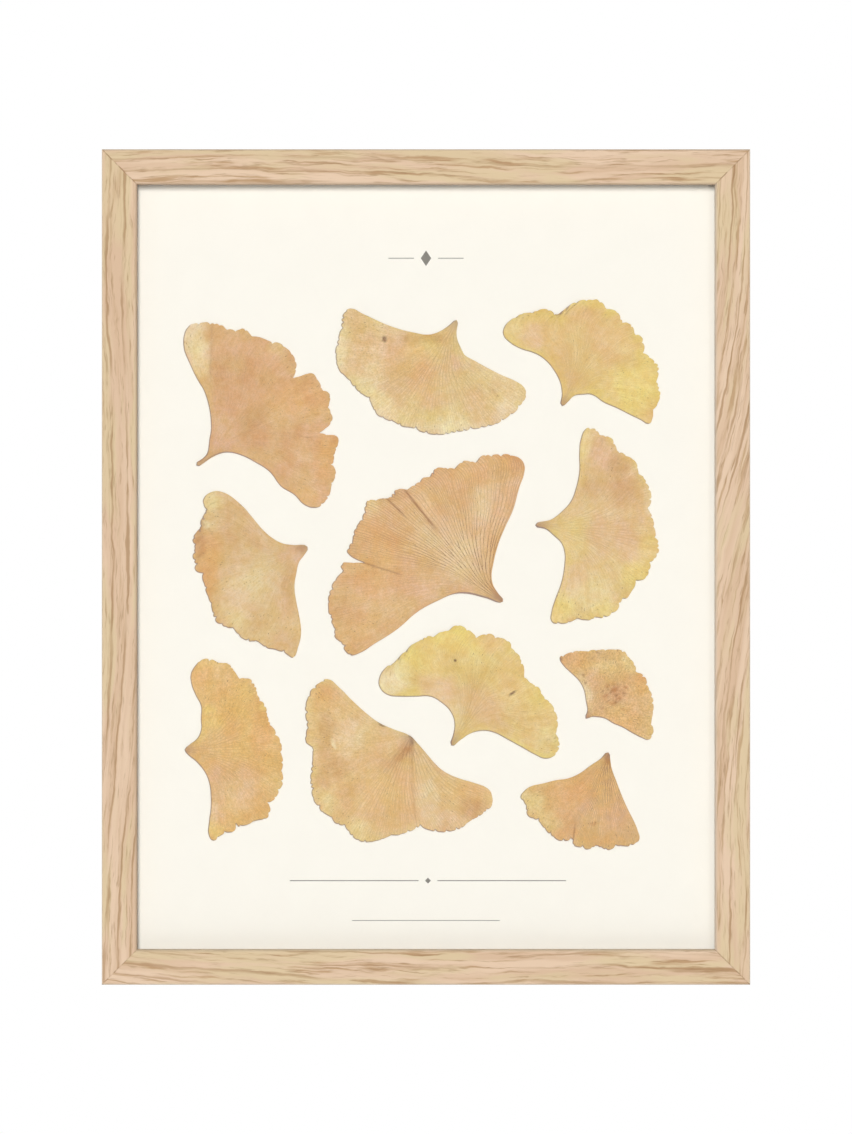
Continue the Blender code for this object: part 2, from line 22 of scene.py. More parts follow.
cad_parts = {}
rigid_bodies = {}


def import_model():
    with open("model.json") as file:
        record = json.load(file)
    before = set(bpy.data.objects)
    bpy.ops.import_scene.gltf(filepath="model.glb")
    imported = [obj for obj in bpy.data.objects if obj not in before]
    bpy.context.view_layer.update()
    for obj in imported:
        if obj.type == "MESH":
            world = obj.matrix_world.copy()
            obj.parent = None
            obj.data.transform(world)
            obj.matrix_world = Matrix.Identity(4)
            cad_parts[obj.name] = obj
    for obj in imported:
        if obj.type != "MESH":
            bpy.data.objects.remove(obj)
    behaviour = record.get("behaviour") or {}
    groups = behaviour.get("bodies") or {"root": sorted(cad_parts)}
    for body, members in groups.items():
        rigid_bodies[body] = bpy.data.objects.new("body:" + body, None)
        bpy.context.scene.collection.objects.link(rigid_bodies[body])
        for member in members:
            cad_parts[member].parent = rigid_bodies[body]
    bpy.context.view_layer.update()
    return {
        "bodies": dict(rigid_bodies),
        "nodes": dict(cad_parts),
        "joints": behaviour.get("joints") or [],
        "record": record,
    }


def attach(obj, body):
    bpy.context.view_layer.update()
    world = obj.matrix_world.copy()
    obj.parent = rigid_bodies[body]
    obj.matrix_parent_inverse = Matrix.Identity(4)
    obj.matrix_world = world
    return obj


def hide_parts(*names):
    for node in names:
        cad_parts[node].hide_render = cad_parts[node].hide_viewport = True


LOG = logging.getLogger("pressed_leaves")

MM = 0.001

# The frame's own sizes, as its nodes have them
FRAME_WIDTH = 198.2
FRAME_HEIGHT = 255.4
FRAME_DEPTH = 16.0
RAIL_WIDTH = 10.8
LIP_WIDTH = 3.6
LIP_THICKNESS = 3.0
FRONT = -FRAME_DEPTH / 2
MIDDLE = FRAME_HEIGHT / 2

# The card's front face, on which the leaves lie
CARD_FRONT = -1.7

# Points of a mesh that are nearer to each other than this, in metres, are one
NEAR = 0.000001

Spot = tuple[float, float]
Place = tuple[float, float, float]
Colour = tuple[float, float, float]
Socket = bpy.types.NodeSocket
Model = bmesh.types.BMesh


def tone(red: float, green: float, blue: float) -> Colour:
    """A colour given in steps of 0 to 255 on screen, as the linear values that shaders take."""
    shares = (red / 255, green / 255, blue / 255)
    return tuple(s / 12.92 if s <= 0.04045 else ((s + 0.055) / 1.055) ** 2.4 for s in shares)


def ease(value: np.ndarray, low: float, high: float) -> np.ndarray:
    """0 below low and 1 above high, with a soft rise between them."""
    share = np.clip((value - low) / (high - low), 0.0, 1.0)
    return share * share * (3.0 - 2.0 * share)


class Bumps:
    """Smooth random bumps over a plane, the same on every run."""

    def __init__(self, seed: int, cells: int = 61) -> None:
        """Draw the bumps' heights.

        Args:
            seed: the number that the draw starts from.
            cells: how many cells the bumps run for before they repeat.
        """
        self.cells = cells
        self.heights = np.random.default_rng(seed).uniform(-1.0, 1.0, (cells, cells))

    def at(self, across: np.ndarray, along: np.ndarray) -> np.ndarray:
        """Read the bumps.

        Args:
            across: places in cells along the first axis.
            along: places in cells along the second axis.

        Returns:
            A height of -1 to 1 for each place.
        """
        column, row = np.floor(across).astype(int), np.floor(along).astype(int)
        right, up = ease(across - column, 0.0, 1.0), ease(along - row, 0.0, 1.0)
        near, far = column % self.cells, (column + 1) % self.cells
        low, high = row % self.cells, (row + 1) % self.cells
        bottom = self.heights[near, low] * (1 - right) + self.heights[far, low] * right
        top = self.heights[near, high] * (1 - right) + self.heights[far, high] * right
        return bottom * (1 - up) + top * up


class Nodes:
    """A node tree in the making, with short calls that add its nodes and join them.

    FIRST_COLOUR and MIXED_COLOUR are the numbers of a Mix node's sockets for colours.
    """

    FIRST_COLOUR = 6
    MIXED_COLOUR = 2

    def __init__(self, tree: bpy.types.NodeTree) -> None:
        """Take the tree that the nodes go into."""
        self.tree = tree

    def add(self, kind: str, **settings: object) -> bpy.types.Node:
        """Add a node.

        Args:
            kind: the node's type.
            settings: the values of its own properties.

        Returns:
            The new node.
        """
        node = self.tree.nodes.new(kind)
        for name, value in settings.items():
            setattr(node, name, value)
        return node

    def put(self, socket: Socket, value: object) -> None:
        """Join an output to a socket, or set the socket to a plain value.

        Args:
            socket: the input that is filled.
            value: another node's output, or a number, a triple or a colour.
        """
        if isinstance(value, Socket):
            self.tree.links.new(value, socket)
        elif isinstance(value, tuple) and len(value) == 3 and socket.type == "RGBA":
            socket.default_value = (*value, 1.0)
        else:
            socket.default_value = value

    def fill(self, node: bpy.types.Node, values: dict[str, object]) -> None:
        """Fill several of a node's sockets.

        Args:
            node: the node.
            values: each socket's name, with what it gets.
        """
        for name, value in values.items():
            self.put(node.inputs[name], value)

    def work_out(self, kind: str, values: Sequence[object], **settings: object) -> Sequence[Socket]:
        """Add a node and fill its sockets in their order.

        Args:
            kind: the node's type.
            values: outputs or plain values.
            settings: the values of its own properties.

        Returns:
            The node's outputs.
        """
        node = self.add(kind, **settings)
        for socket, value in zip(node.inputs, values):
            self.put(socket, value)
        return node.outputs

    def math(self, operation: str, *values: object) -> Socket:
        """Work out a number from others, given as outputs or plain numbers."""
        return self.work_out("ShaderNodeMath", values, operation=operation)[0]

    def times(self, first: object, second: object) -> Socket:
        """The product of two numbers."""
        return self.math("MULTIPLY", first, second)

    def plus(self, first: object, second: object) -> Socket:
        """The sum of two numbers."""
        return self.math("ADD", first, second)

    def minus(self, first: object, second: object) -> Socket:
        """The first number less the second."""
        return self.math("SUBTRACT", first, second)

    def vector(self, operation: str, *values: object) -> Socket:
        """Work out a vector from others, given as outputs or plain triples."""
        return self.work_out("ShaderNodeVectorMath", values, operation=operation)[0]

    def stretch(self, vector: Socket, by: object) -> Socket:
        """A vector with each part multiplied by its own number."""
        return self.vector("MULTIPLY", vector, by)

    def split(self, vector: Socket) -> Sequence[Socket]:
        """The three parts of a vector."""
        return self.work_out("ShaderNodeSeparateXYZ", [vector])

    def join(self, *parts: object) -> Socket:
        """A vector of three parts."""
        return self.work_out("ShaderNodeCombineXYZ", parts)[0]

    def turned(self, place: Socket, degrees: float) -> Socket:
        """A place on the object after a turn about Y.

        Args:
            place: the place.
            degrees: the turn.

        Returns:
            The turned place's output.
        """
        turn = (0.0, math.radians(degrees), 0.0)
        node = self.add("ShaderNodeMapping")
        self.fill(node, {"Vector": place, "Rotation": turn})
        return node.outputs[0]

    def rise(
        self, value: object, low: float, high: float, start: float = 0.0, end: float = 1.0
    ) -> Socket:
        """A soft rise from start to end, as a value goes from low to high.

        Args:
            value: the output that is read.
            low: the value at which the rise starts.
            high: the value at which it ends.
            start: what comes out below low.
            end: what comes out above high.

        Returns:
            The rise's output.
        """
        node = self.add("ShaderNodeMapRange", interpolation_type="SMOOTHSTEP")
        ends = {"From Min": low, "From Max": high, "To Min": start, "To Max": end}
        self.fill(node, {**ends, "Value": value})
        return node.outputs[0]

    def noise(
        self, vector: object, scale: float = 1.0, detail: float = 2.0, rough: float = 0.5
    ) -> Socket:
        """Soft random values of about 0.25 to 0.75.

        Args:
            vector: the place that is read.
            scale: bumps to one unit of the vector.
            detail: how many finer layers are added.
            rough: how strong each finer layer is.

        Returns:
            The value's output.
        """
        node = self.add("ShaderNodeTexNoise")
        self.fill(node, {"Scale": scale, "Detail": detail, "Roughness": rough, "Vector": vector})
        return node.outputs["Fac"]

    def mix(self, share: object, first: object, second: object, blend: str = "MIX") -> Socket:
        """Mix two colours.

        Args:
            share: how much of the second shows.
            first: the colour below.
            second: the colour on top.
            blend: how the second goes over the first.

        Returns:
            The mixed colour's output.
        """
        node = self.add("ShaderNodeMix", data_type="RGBA", blend_type=blend)
        self.put(node.inputs["Factor"], share)
        self.put(node.inputs[self.FIRST_COLOUR], first)
        self.put(node.inputs[self.FIRST_COLOUR + 1], second)
        return node.outputs[self.MIXED_COLOUR]

    def bump(self, height: object, depth: float) -> Socket:
        """The surface's direction over fine relief.

        Args:
            height: an output of 0 to 1.
            depth: the millimetres that it stands for.

        Returns:
            The direction's output.
        """
        node = self.add("ShaderNodeBump")
        self.fill(node, {"Strength": 1.0, "Distance": depth * MM, "Height": height})
        return node.outputs[0]

    def place(self) -> Socket:
        """The place on the object in millimetres."""
        return self.stretch(self.add("ShaderNodeTexCoord").outputs["Object"], (1 / MM,) * 3)


class Effect(Enum):
    """The effects that more than one material uses, each a node group that is built once."""

    OAK_GRAIN = "oak_grain"
    FRAME_PLACE = "frame_place"
    FIBRES = "pressed_fibres"
    FLECKS = "scattered_flecks"
    BLADE = "leaf_blade"


class Effects:
    """Builds each effect's node group once and places it in materials."""

    def __init__(self) -> None:
        """Start with nothing built."""
        self.built: dict[Effect, bpy.types.NodeTree] = {}

    def use(self, nodes: Nodes, effect: Effect, **values: object) -> bpy.types.Node:
        """Place an effect in a material.

        Args:
            nodes: the material's nodes.
            effect: the effect to place.
            values: what its inputs get.

        Returns:
            The group's node.
        """
        makers = {
            Effect.OAK_GRAIN: self.make_oak_grain,
            Effect.FRAME_PLACE: self.make_frame_place,
            Effect.FIBRES: self.make_pressed_fibres,
            Effect.FLECKS: self.make_scattered_flecks,
            Effect.BLADE: self.make_leaf_blade,
        }
        if effect not in self.built:
            self.built[effect] = makers[effect]()
        node = nodes.add("ShaderNodeGroup", node_tree=self.built[effect])
        nodes.fill(node, {name.capitalize(): value for name, value in values.items()})
        return node

    def start(
        self, effect: Effect, inputs: dict[str, float | None], outputs: Sequence[str]
    ) -> tuple[Nodes, bpy.types.Node, bpy.types.Node]:
        """Open a group with its named sockets.

        Args:
            effect: the effect that the group holds.
            inputs: each input's name, with its usual value, or None for a vector.
            outputs: the names of its outputs.

        Returns:
            The group's nodes, its inputs' node and its outputs' node.
        """
        tree = bpy.data.node_groups.new(effect.value, "ShaderNodeTree")
        for name, usual in inputs.items():
            kind = "NodeSocketVector" if usual is None else "NodeSocketFloat"
            socket = tree.interface.new_socket(name, in_out="INPUT", socket_type=kind)
            if usual is not None:
                socket.default_value = usual
        for name in outputs:
            tree.interface.new_socket(name, in_out="OUTPUT", socket_type="NodeSocketFloat")
        nodes = Nodes(tree)
        return nodes, nodes.add("NodeGroupInput"), nodes.add("NodeGroupOutput")

    def make_oak_grain(self) -> bpy.types.NodeTree:
        """Oak with its grain along the vector's Z, which Bend makes wind from side to side.

        Rings are the long dark lines, Streaks the soft short ones and Pores the finest marks.

        Returns:
            The effect's node tree.
        """
        nodes, given, out = self.start(
            Effect.OAK_GRAIN,
            {"Vector": None, "Bend": 0.0, "Phase": 0.0, "Seed": 0.0},
            ("Band", "Warmth", "Rings", "Streaks", "Pores", "Height"),
        )
        across, depth, along = nodes.split(given.outputs["Vector"])
        turn = nodes.plus(nodes.times(along, 1 / 40), given.outputs["Phase"])
        wound = nodes.times(nodes.math("SINE", turn), given.outputs["Bend"])
        away = nodes.times(given.outputs["Seed"], 37.0)
        straight = nodes.join(nodes.plus(nodes.minus(across, wound), away), depth, along)
        slow = nodes.noise(nodes.stretch(straight, (0.05, 0.05, 0.012)), detail=1.5)
        quick = nodes.noise(nodes.stretch(straight, (0.3, 0.3, 0.11)), detail=2.5, rough=0.6)
        sway = nodes.times(nodes.minus(slow, 0.5), 6.0)
        shiver = nodes.times(nodes.minus(quick, 0.5), 1.7)
        across, depth, along = nodes.split(straight)
        bent = nodes.plus(nodes.plus(across, sway), shiver)
        grain = nodes.join(bent, depth, along)
        band = nodes.noise(nodes.stretch(grain, (0.36, 0.3, 0.014)), detail=2.0)
        warmth = nodes.noise(nodes.stretch(grain, (0.22, 0.2, 0.03)), detail=2.5)
        broken = nodes.noise(nodes.stretch(grain, (0.5, 0.4, 0.03)), detail=2.0)
        wave = nodes.math("SINE", nodes.plus(nodes.times(bent, 1.5), nodes.times(band, 5.0)))
        rings = nodes.times(nodes.rise(wave, 0.72, 1.0), nodes.rise(broken, 0.4, 0.58))
        soft = nodes.noise(nodes.stretch(grain, (1.0, 0.8, 0.055)), detail=2.5, rough=0.6)
        streaks = nodes.rise(soft, 0.5, 0.72)
        short = nodes.noise(nodes.stretch(grain, (2.3, 1.8, 0.17)), detail=2.0, rough=0.6)
        pores = nodes.times(nodes.rise(short, 0.53, 0.68), nodes.rise(soft, 0.38, 0.58))
        fibre = nodes.noise(nodes.stretch(grain, (5.5, 4.5, 0.5)), detail=2.0, rough=0.6)
        dips = nodes.math("MULTIPLY_ADD", pores, -0.6, nodes.times(fibre, 0.7))
        found = {"Band": band, "Warmth": warmth, "Rings": rings, "Streaks": streaks, "Pores": pores}
        nodes.fill(out, {**found, "Height": nodes.math("MULTIPLY_ADD", rings, -0.4, dips)})
        return nodes.tree

    def make_frame_place(self) -> bpy.types.NodeTree:
        """How far a place is from the frame's outer edge, from the nearest mitre and from the front.

        Returns:
            The effect's node tree.
        """
        nodes, given, out = self.start(Effect.FRAME_PLACE, {"Vector": None}, ("Inward", "Mitre", "Depth"))
        right, depth, up = nodes.split(given.outputs["Vector"])
        side = nodes.minus(FRAME_WIDTH / 2, nodes.math("ABSOLUTE", right))
        above = nodes.math("ABSOLUTE", nodes.minus(up, MIDDLE))
        end = nodes.minus(FRAME_HEIGHT / 2, above)
        found = {"Inward": nodes.math("MINIMUM", side, end), "Depth": nodes.minus(depth, FRONT)}
        nodes.fill(out, {**found, "Mitre": nodes.math("ABSOLUTE", nodes.minus(side, end))})
        return nodes.tree

    def make_pressed_fibres(self) -> bpy.types.NodeTree:
        """Short fibres that lie all ways, as in card and hardboard, with slow clouds under them.

        Returns:
            The effect's node tree.
        """
        nodes, given, out = self.start(
            Effect.FIBRES, {"Vector": None, "Scale": 1.0}, ("Fibres", "Clouds", "Height")
        )
        place = nodes.stretch(given.outputs["Vector"], given.outputs["Scale"])
        lying = nodes.noise(nodes.stretch(place, (0.5, 2.6, 3.1)), detail=3.0, rough=0.6)
        standing = nodes.noise(nodes.stretch(place, (2.9, 2.6, 0.6)), detail=3.0, rough=0.6)
        clouds = nodes.noise(place, scale=0.11, detail=3.0, rough=0.6)
        fibres = nodes.math("MAXIMUM", lying, standing)
        grit = nodes.noise(place, scale=5.0, detail=1.0)
        height = nodes.plus(fibres, nodes.times(grit, 0.4))
        nodes.fill(out, {"Fibres": fibres, "Clouds": clouds, "Height": height})
        return nodes.tree

    def make_scattered_flecks(self) -> bpy.types.NodeTree:
        """Small scattered spots of uneven size. Share is how many of the cells hold one.

        Returns:
            The effect's node tree.
        """
        nodes, given, out = self.start(
            Effect.FLECKS, {"Vector": None, "Scale": 1.0, "Share": 0.2, "Size": 0.2}, ("Flecks",)
        )
        shaken = nodes.noise(given.outputs["Vector"], scale=3.0, detail=1.0)
        place = nodes.stretch(given.outputs["Vector"], given.outputs["Scale"])
        cells = nodes.add("ShaderNodeTexVoronoi", feature="F1")
        nodes.fill(cells, {"Vector": place, "Scale": 1.0})
        chance = nodes.split(cells.outputs["Color"])[0]
        held = nodes.math("LESS_THAN", chance, given.outputs["Share"])
        reach = nodes.times(given.outputs["Size"], nodes.plus(shaken, 0.5))
        inside = nodes.math("DIVIDE", cells.outputs["Distance"], reach)
        nodes.fill(out, {"Flecks": nodes.times(held, nodes.rise(inside, 0.5, 1.1, 1.0, 0.0))})
        return nodes.tree

    def make_leaf_blade(self) -> bpy.types.NodeTree:
        """A dried blade's own pattern. Fan runs across the veins and along them, in millimetres.

        Returns:
            The effect's node tree.
        """
        nodes, given, out = self.start(
            Effect.BLADE,
            {"Vector": None, "Fan": None},
            ("Clouds", "Hue", "Mottles", "Pleats", "Threads", "Wrinkles", "Grain", "Height"),
        )
        place, fan = given.outputs["Vector"], given.outputs["Fan"]
        clouds = nodes.noise(place, scale=0.1, detail=3.0, rough=0.55)
        hue = nodes.noise(nodes.vector("ADD", place, (70.0, 0.0, 30.0)), scale=0.14, detail=2.0)
        mottles = nodes.noise(place, scale=0.42, detail=3.0, rough=0.62)
        pleats = nodes.noise(nodes.stretch(fan, (0.42, 0.045, 0.0)), detail=2.0)
        threads = nodes.noise(nodes.stretch(fan, (2.0, 0.11, 0.0)), detail=2.0, rough=0.6)
        folded = nodes.noise(nodes.stretch(fan, (0.62, 0.24, 0.0)), detail=3.0, rough=0.6)
        line = nodes.rise(nodes.math("ABSOLUTE", nodes.minus(folded, 0.5)), 0.0, 0.016, 1.0, 0.0)
        wrinkles = nodes.times(line, nodes.rise(mottles, 0.46, 0.62))
        grain = nodes.noise(place, scale=2.0, detail=2.0, rough=0.65)
        height = nodes.plus(threads, nodes.times(grain, 0.8))
        height = nodes.plus(height, nodes.times(mottles, 1.2))
        height = nodes.math("MULTIPLY_ADD", wrinkles, -0.5, height)
        found = {"Clouds": clouds, "Hue": hue, "Mottles": mottles, "Pleats": pleats, "Threads": threads}
        nodes.fill(out, {**found, "Wrinkles": wrinkles, "Grain": grain, "Height": height})
        return nodes.tree


EFFECTS = Effects()


def new_material(name: str) -> tuple[bpy.types.Material, Nodes, bpy.types.Node]:
    """Start a material.

    Args:
        name: the material's name.

    Returns:
        The material, its nodes and its main shader, which is joined to the output.
    """
    material = bpy.data.materials.new(name)
    material.use_nodes = True
    material.node_tree.nodes.clear()
    nodes = Nodes(material.node_tree)
    shader = nodes.add("ShaderNodeBsdfPrincipled")
    nodes.fill(nodes.add("ShaderNodeOutputMaterial"), {"Surface": shader.outputs[0]})
    return material, nodes, shader


def show(nodes: Nodes, surface: Socket) -> None:
    """Join another shader to the output of a material.

    Args:
        nodes: the material's nodes.
        surface: the shader's output.
    """
    end = next(node for node in nodes.tree.nodes if node.type == "OUTPUT_MATERIAL")
    nodes.fill(end, {"Surface": surface})


@dataclass(frozen=True)
class OakFinish:
    """Light oak, sanded and oiled matt, with its grain along one rail.

    Slant is the grain's lean in degrees, bend how far it winds to each side in millimetres. Ringed and
    streaked are how strongly the long lines and the short streaks show. Opening_shade is painted shade:
    the colour that the wood's front is darkened to along the rail's inner edge, where its rounding lies in
    shade. Edge is a paler grey painted on the rounded front arris along the frame's outside: painted light
    that stands in for how the lamps fall on that rounding.
    """

    name: str
    turn: float
    slant: float
    bend: float
    phase: float
    seed: float
    ringed: float
    streaked: float
    opening_shade: Colour
    pale: Colour = tone(223, 196, 169)
    deep: Colour = tone(211, 181, 152)
    yellow: Colour = tone(214, 193, 156)
    ring: Colour = tone(166, 132, 96)
    streak: Colour = tone(184, 151, 115)
    pore: Colour = tone(160, 128, 92)
    # edge: paler grey painted on the rounded front arris along the frame's outside, as light on its rounding
    edge: Colour = tone(212, 194, 172)
    joint: Colour = tone(140, 104, 72)
    relief: float = 0.07
    gloss: float = 0.35

    def make(self) -> bpy.types.Material:
        """Build the material.

        Returns:
            The material.
        """
        material, nodes, shader = new_material(self.name)
        place = nodes.place()
        leaning = nodes.turned(place, self.turn + self.slant)
        spot = EFFECTS.use(nodes, Effect.FRAME_PLACE, vector=place).outputs
        across, depth, length = nodes.split(nodes.turned(place, self.turn))
        outer_face = nodes.math("LESS_THAN", spot["Inward"], 0.12)
        grain = nodes.mix(outer_face, leaning, nodes.join(depth, across, length))
        oak = EFFECTS.use(
            nodes, Effect.OAK_GRAIN, vector=grain, bend=self.bend, phase=self.phase, seed=self.seed
        ).outputs
        wood = nodes.mix(nodes.rise(oak["Band"], 0.34, 0.66), self.pale, self.deep)
        wood = nodes.mix(nodes.rise(oak["Warmth"], 0.44, 0.62, 0.0, 0.85), wood, self.yellow)
        wood = nodes.mix(nodes.times(oak["Streaks"], self.streaked), wood, self.streak)
        wood = nodes.mix(nodes.times(oak["Pores"], 0.5), wood, self.pore)
        wood = nodes.mix(nodes.times(oak["Rings"], self.ringed), wood, self.ring)
        # Painted light: the rounded front arris along the frame's outside is mixed towards the paler grey
        # edge colour.
        near_front = nodes.rise(spot["Depth"], 0.7, 1.6, 1.0, 0.0)
        outer = nodes.times(nodes.rise(spot["Inward"], 0.1, 0.6, 0.5, 0.0), near_front)
        wood = nodes.mix(outer, wood, self.edge)
        # Painted shade: the front darkens towards the rail's inner edge, whose rounding and wall lie in
        # shade.
        opening_shade = nodes.rise(spot["Inward"], RAIL_WIDTH - 1.0, RAIL_WIDTH - 0.1, 0.0, 0.7)
        wood = nodes.mix(opening_shade, wood, self.opening_shade)
        broken = nodes.rise(nodes.noise(place, scale=0.5, detail=1.0), 0.38, 0.62, 0.15, 0.75)
        joint = nodes.times(nodes.rise(spot["Mitre"], 0.05, 0.36, 1.0, 0.0), broken)
        rough = nodes.rise(oak["Height"], -0.4, 0.5, 0.72, 0.52)
        nodes.fill(shader, {"Base Color": nodes.mix(joint, wood, self.joint), "Roughness": rough})
        nodes.fill(shader, {"Normal": nodes.bump(oak["Height"], self.relief)})
        nodes.fill(shader, {"Specular IOR Level": self.gloss})
        return material


@dataclass(frozen=True)
class PaneFinish:
    """Clear float glass that lets the lamps through to what lies behind it."""

    name: str = "clear_pane"
    tint: Colour = (0.985, 0.995, 0.99)
    let_through: Colour = (0.97, 0.975, 0.97)
    bending: float = 1.3

    def make(self) -> bpy.types.Material:
        """Build the material.

        Returns:
            The material.
        """
        material, nodes, shader = new_material(self.name)
        nodes.fill(shader, {"Base Color": self.tint, "Transmission Weight": 1.0})
        nodes.fill(shader, {"Roughness": 0.0, "IOR": self.bending})
        open_pane = nodes.add("ShaderNodeBsdfTransparent")
        nodes.fill(open_pane, {"Color": self.let_through})
        ray = nodes.add("ShaderNodeLightPath").outputs
        shown = shader.outputs[0]
        for kind in ("Is Diffuse Ray", "Is Shadow Ray"):
            shown = nodes.work_out("ShaderNodeMixShader", [ray[kind], shown, open_pane.outputs[0]])[0]
        show(nodes, shown)
        return material


@dataclass(frozen=True)
class Rule:
    """A plain printed line or diamond on the card: its middle, half its length and half its height."""

    middle: Spot
    reach: float
    half: float


@dataclass(frozen=True)
class CardFinish:
    """Off-white uncoated card with a few plain printed rules and two small diamonds."""

    name: str = "off_white_card"
    pale: Colour = tone(251, 245, 236)
    deep: Colour = tone(250, 244, 235)
    ink: Colour = tone(92, 86, 78)
    rules: tuple[Rule, ...] = (
        Rule((-22.0, -96.1), 19.7, 0.14),
        Rule((23.2, -96.1), 19.7, 0.14),
        Rule((0.0, -108.3), 22.6, 0.1),
        Rule((-7.6, 94.6), 3.9, 0.12),
        Rule((7.6, 94.6), 3.9, 0.12),
    )
    diamonds: tuple[Rule, ...] = (Rule((0.6, -96.1), 0.9, 0.9), Rule((0.0, 94.6), 1.6, 2.4))
    inking: float = 0.85
    relief: float = 0.012
    gloss: float = 0.25
    rough: float = 0.85

    def make(self) -> bpy.types.Material:
        """Build the material.

        Returns:
            The material.
        """
        material, nodes, shader = new_material(self.name)
        place = nodes.place()
        card = EFFECTS.use(nodes, Effect.FIBRES, vector=place, scale=1.0).outputs
        paper = nodes.mix(nodes.rise(card["Clouds"], 0.35, 0.65), self.pale, self.deep)
        paper = nodes.mix(nodes.rise(card["Fibres"], 0.52, 0.75, 0.0, 0.35), paper, self.deep)
        nodes.fill(shader, {"Base Color": nodes.mix(self.printed(nodes, place), paper, self.ink)})
        nodes.fill(shader, {"Roughness": self.rough, "Specular IOR Level": self.gloss})
        nodes.fill(shader, {"Normal": nodes.bump(card["Height"], self.relief)})
        return material

    def printed(self, nodes: Nodes, place: Socket) -> Socket:
        """Where the ink is.

        Args:
            nodes: the material's nodes.
            place: the place on the card in millimetres.

        Returns:
            How much the ink covers, which is 0 on bare card.
        """
        right, _, up = nodes.split(place)
        inked = 0.0
        for marks, joined in ((self.rules, "MAXIMUM"), (self.diamonds, "ADD")):
            for mark in marks:
                across = nodes.math("ABSOLUTE", nodes.minus(right, mark.middle[0]))
                above = nodes.math("ABSOLUTE", nodes.minus(up, mark.middle[1] + MIDDLE))
                across = nodes.math("DIVIDE", across, mark.reach)
                above = nodes.math("DIVIDE", above, mark.half)
                inside = nodes.math("LESS_THAN", nodes.math(joined, across, above), 1.0)
                inked = nodes.math("MAXIMUM", inked, inside)
        return nodes.times(inked, self.inking)


@dataclass(frozen=True)
class HardboardFinish:
    """Brown hardboard with a smooth, slightly mottled back."""

    name: str = "brown_hardboard"
    light: Colour = tone(150, 115, 82)
    dark: Colour = tone(134, 100, 70)
    fleck: Colour = tone(100, 72, 48)
    relief: float = 0.03

    def make(self) -> bpy.types.Material:
        """Build the material.

        Returns:
            The material.
        """
        material, nodes, shader = new_material(self.name)
        place = nodes.place()
        board = EFFECTS.use(nodes, Effect.FIBRES, vector=place, scale=0.9).outputs
        spots = EFFECTS.use(nodes, Effect.FLECKS, vector=place, scale=0.5, share=0.3, size=0.25)
        brown = nodes.mix(nodes.rise(board["Clouds"], 0.2, 0.8), self.light, self.dark)
        brown = nodes.mix(nodes.rise(board["Fibres"], 0.5, 0.72, 0.0, 0.6), brown, self.dark)
        brown = nodes.mix(nodes.times(spots.outputs[0], 0.6), brown, self.fleck)
        rough = nodes.rise(board["Fibres"], 0.4, 0.7, 0.5, 0.72)
        nodes.fill(shader, {"Base Color": brown, "Roughness": rough})
        nodes.fill(shader, {"Normal": nodes.bump(board["Height"], self.relief)})
        return material


@dataclass(frozen=True)
class SteelFinish:
    """Thin plated steel with fine rolling marks and a few dull patches."""

    name: str = "plated_steel"
    bright: Colour = tone(206, 203, 194)
    dull: Colour = tone(186, 181, 170)
    relief: float = 0.006

    def make(self) -> bpy.types.Material:
        """Build the material.

        Returns:
            The material.
        """
        material, nodes, shader = new_material(self.name)
        place = nodes.place()
        marks = nodes.noise(nodes.stretch(place, (0.35, 6.0, 9.0)), detail=2.0)
        patches = nodes.noise(place, scale=0.35, detail=3.0, rough=0.6)
        plate = nodes.mix(nodes.rise(patches, 0.45, 0.7), self.bright, self.dull)
        nodes.fill(shader, {"Base Color": plate, "Metallic": 1.0})
        nodes.fill(shader, {"Roughness": nodes.rise(patches, 0.4, 0.7, 0.3, 0.48)})
        nodes.fill(shader, {"Normal": nodes.bump(marks, self.relief)})
        return material


class Tint(Enum):
    """The colours of the stains on the blades, in steps of 0 to 255 on screen."""

    IVORY = (233, 213, 174)
    STRAW = (230, 209, 152)
    LEMON = (231, 207, 124)
    ROSE = (223, 185, 149)
    APRICOT = (220, 170, 110)
    TAN = (204, 160, 113)
    UMBER = (184, 124, 72)
    RUST = (146, 90, 46)
    DARK = (104, 64, 36)


@dataclass(frozen=True)
class Stain:
    """A place on a blade with a colour of its own. Its edge is soft and uneven."""

    tint: Tint
    middle: Spot
    size: Spot
    turn: float = 0.0
    strength: float = 1.0


@dataclass(frozen=True)
class Crease:
    """A line pressed into a blade, from one spot to another.

    Lift is how high the blade stands along the line, and step how much higher it lies on the line's left.
    Shade is how strongly a dark rust line is painted along it: partly the crease's own brown, partly painted
    shade in its fold.
    """

    start: Spot
    end: Spot
    lift: float = 0.12
    step: float = 0.0
    width: float = 0.35
    shade: float = 0.3


@dataclass(frozen=True)
class Swing:
    """How a pattern varies a blade's colour.

    The colour is multiplied by low where the pattern is at start or less, and by high where it is at end
    or more.
    """

    pattern: str
    low: Colour
    high: Colour
    start: float = 0.3
    end: float = 0.7


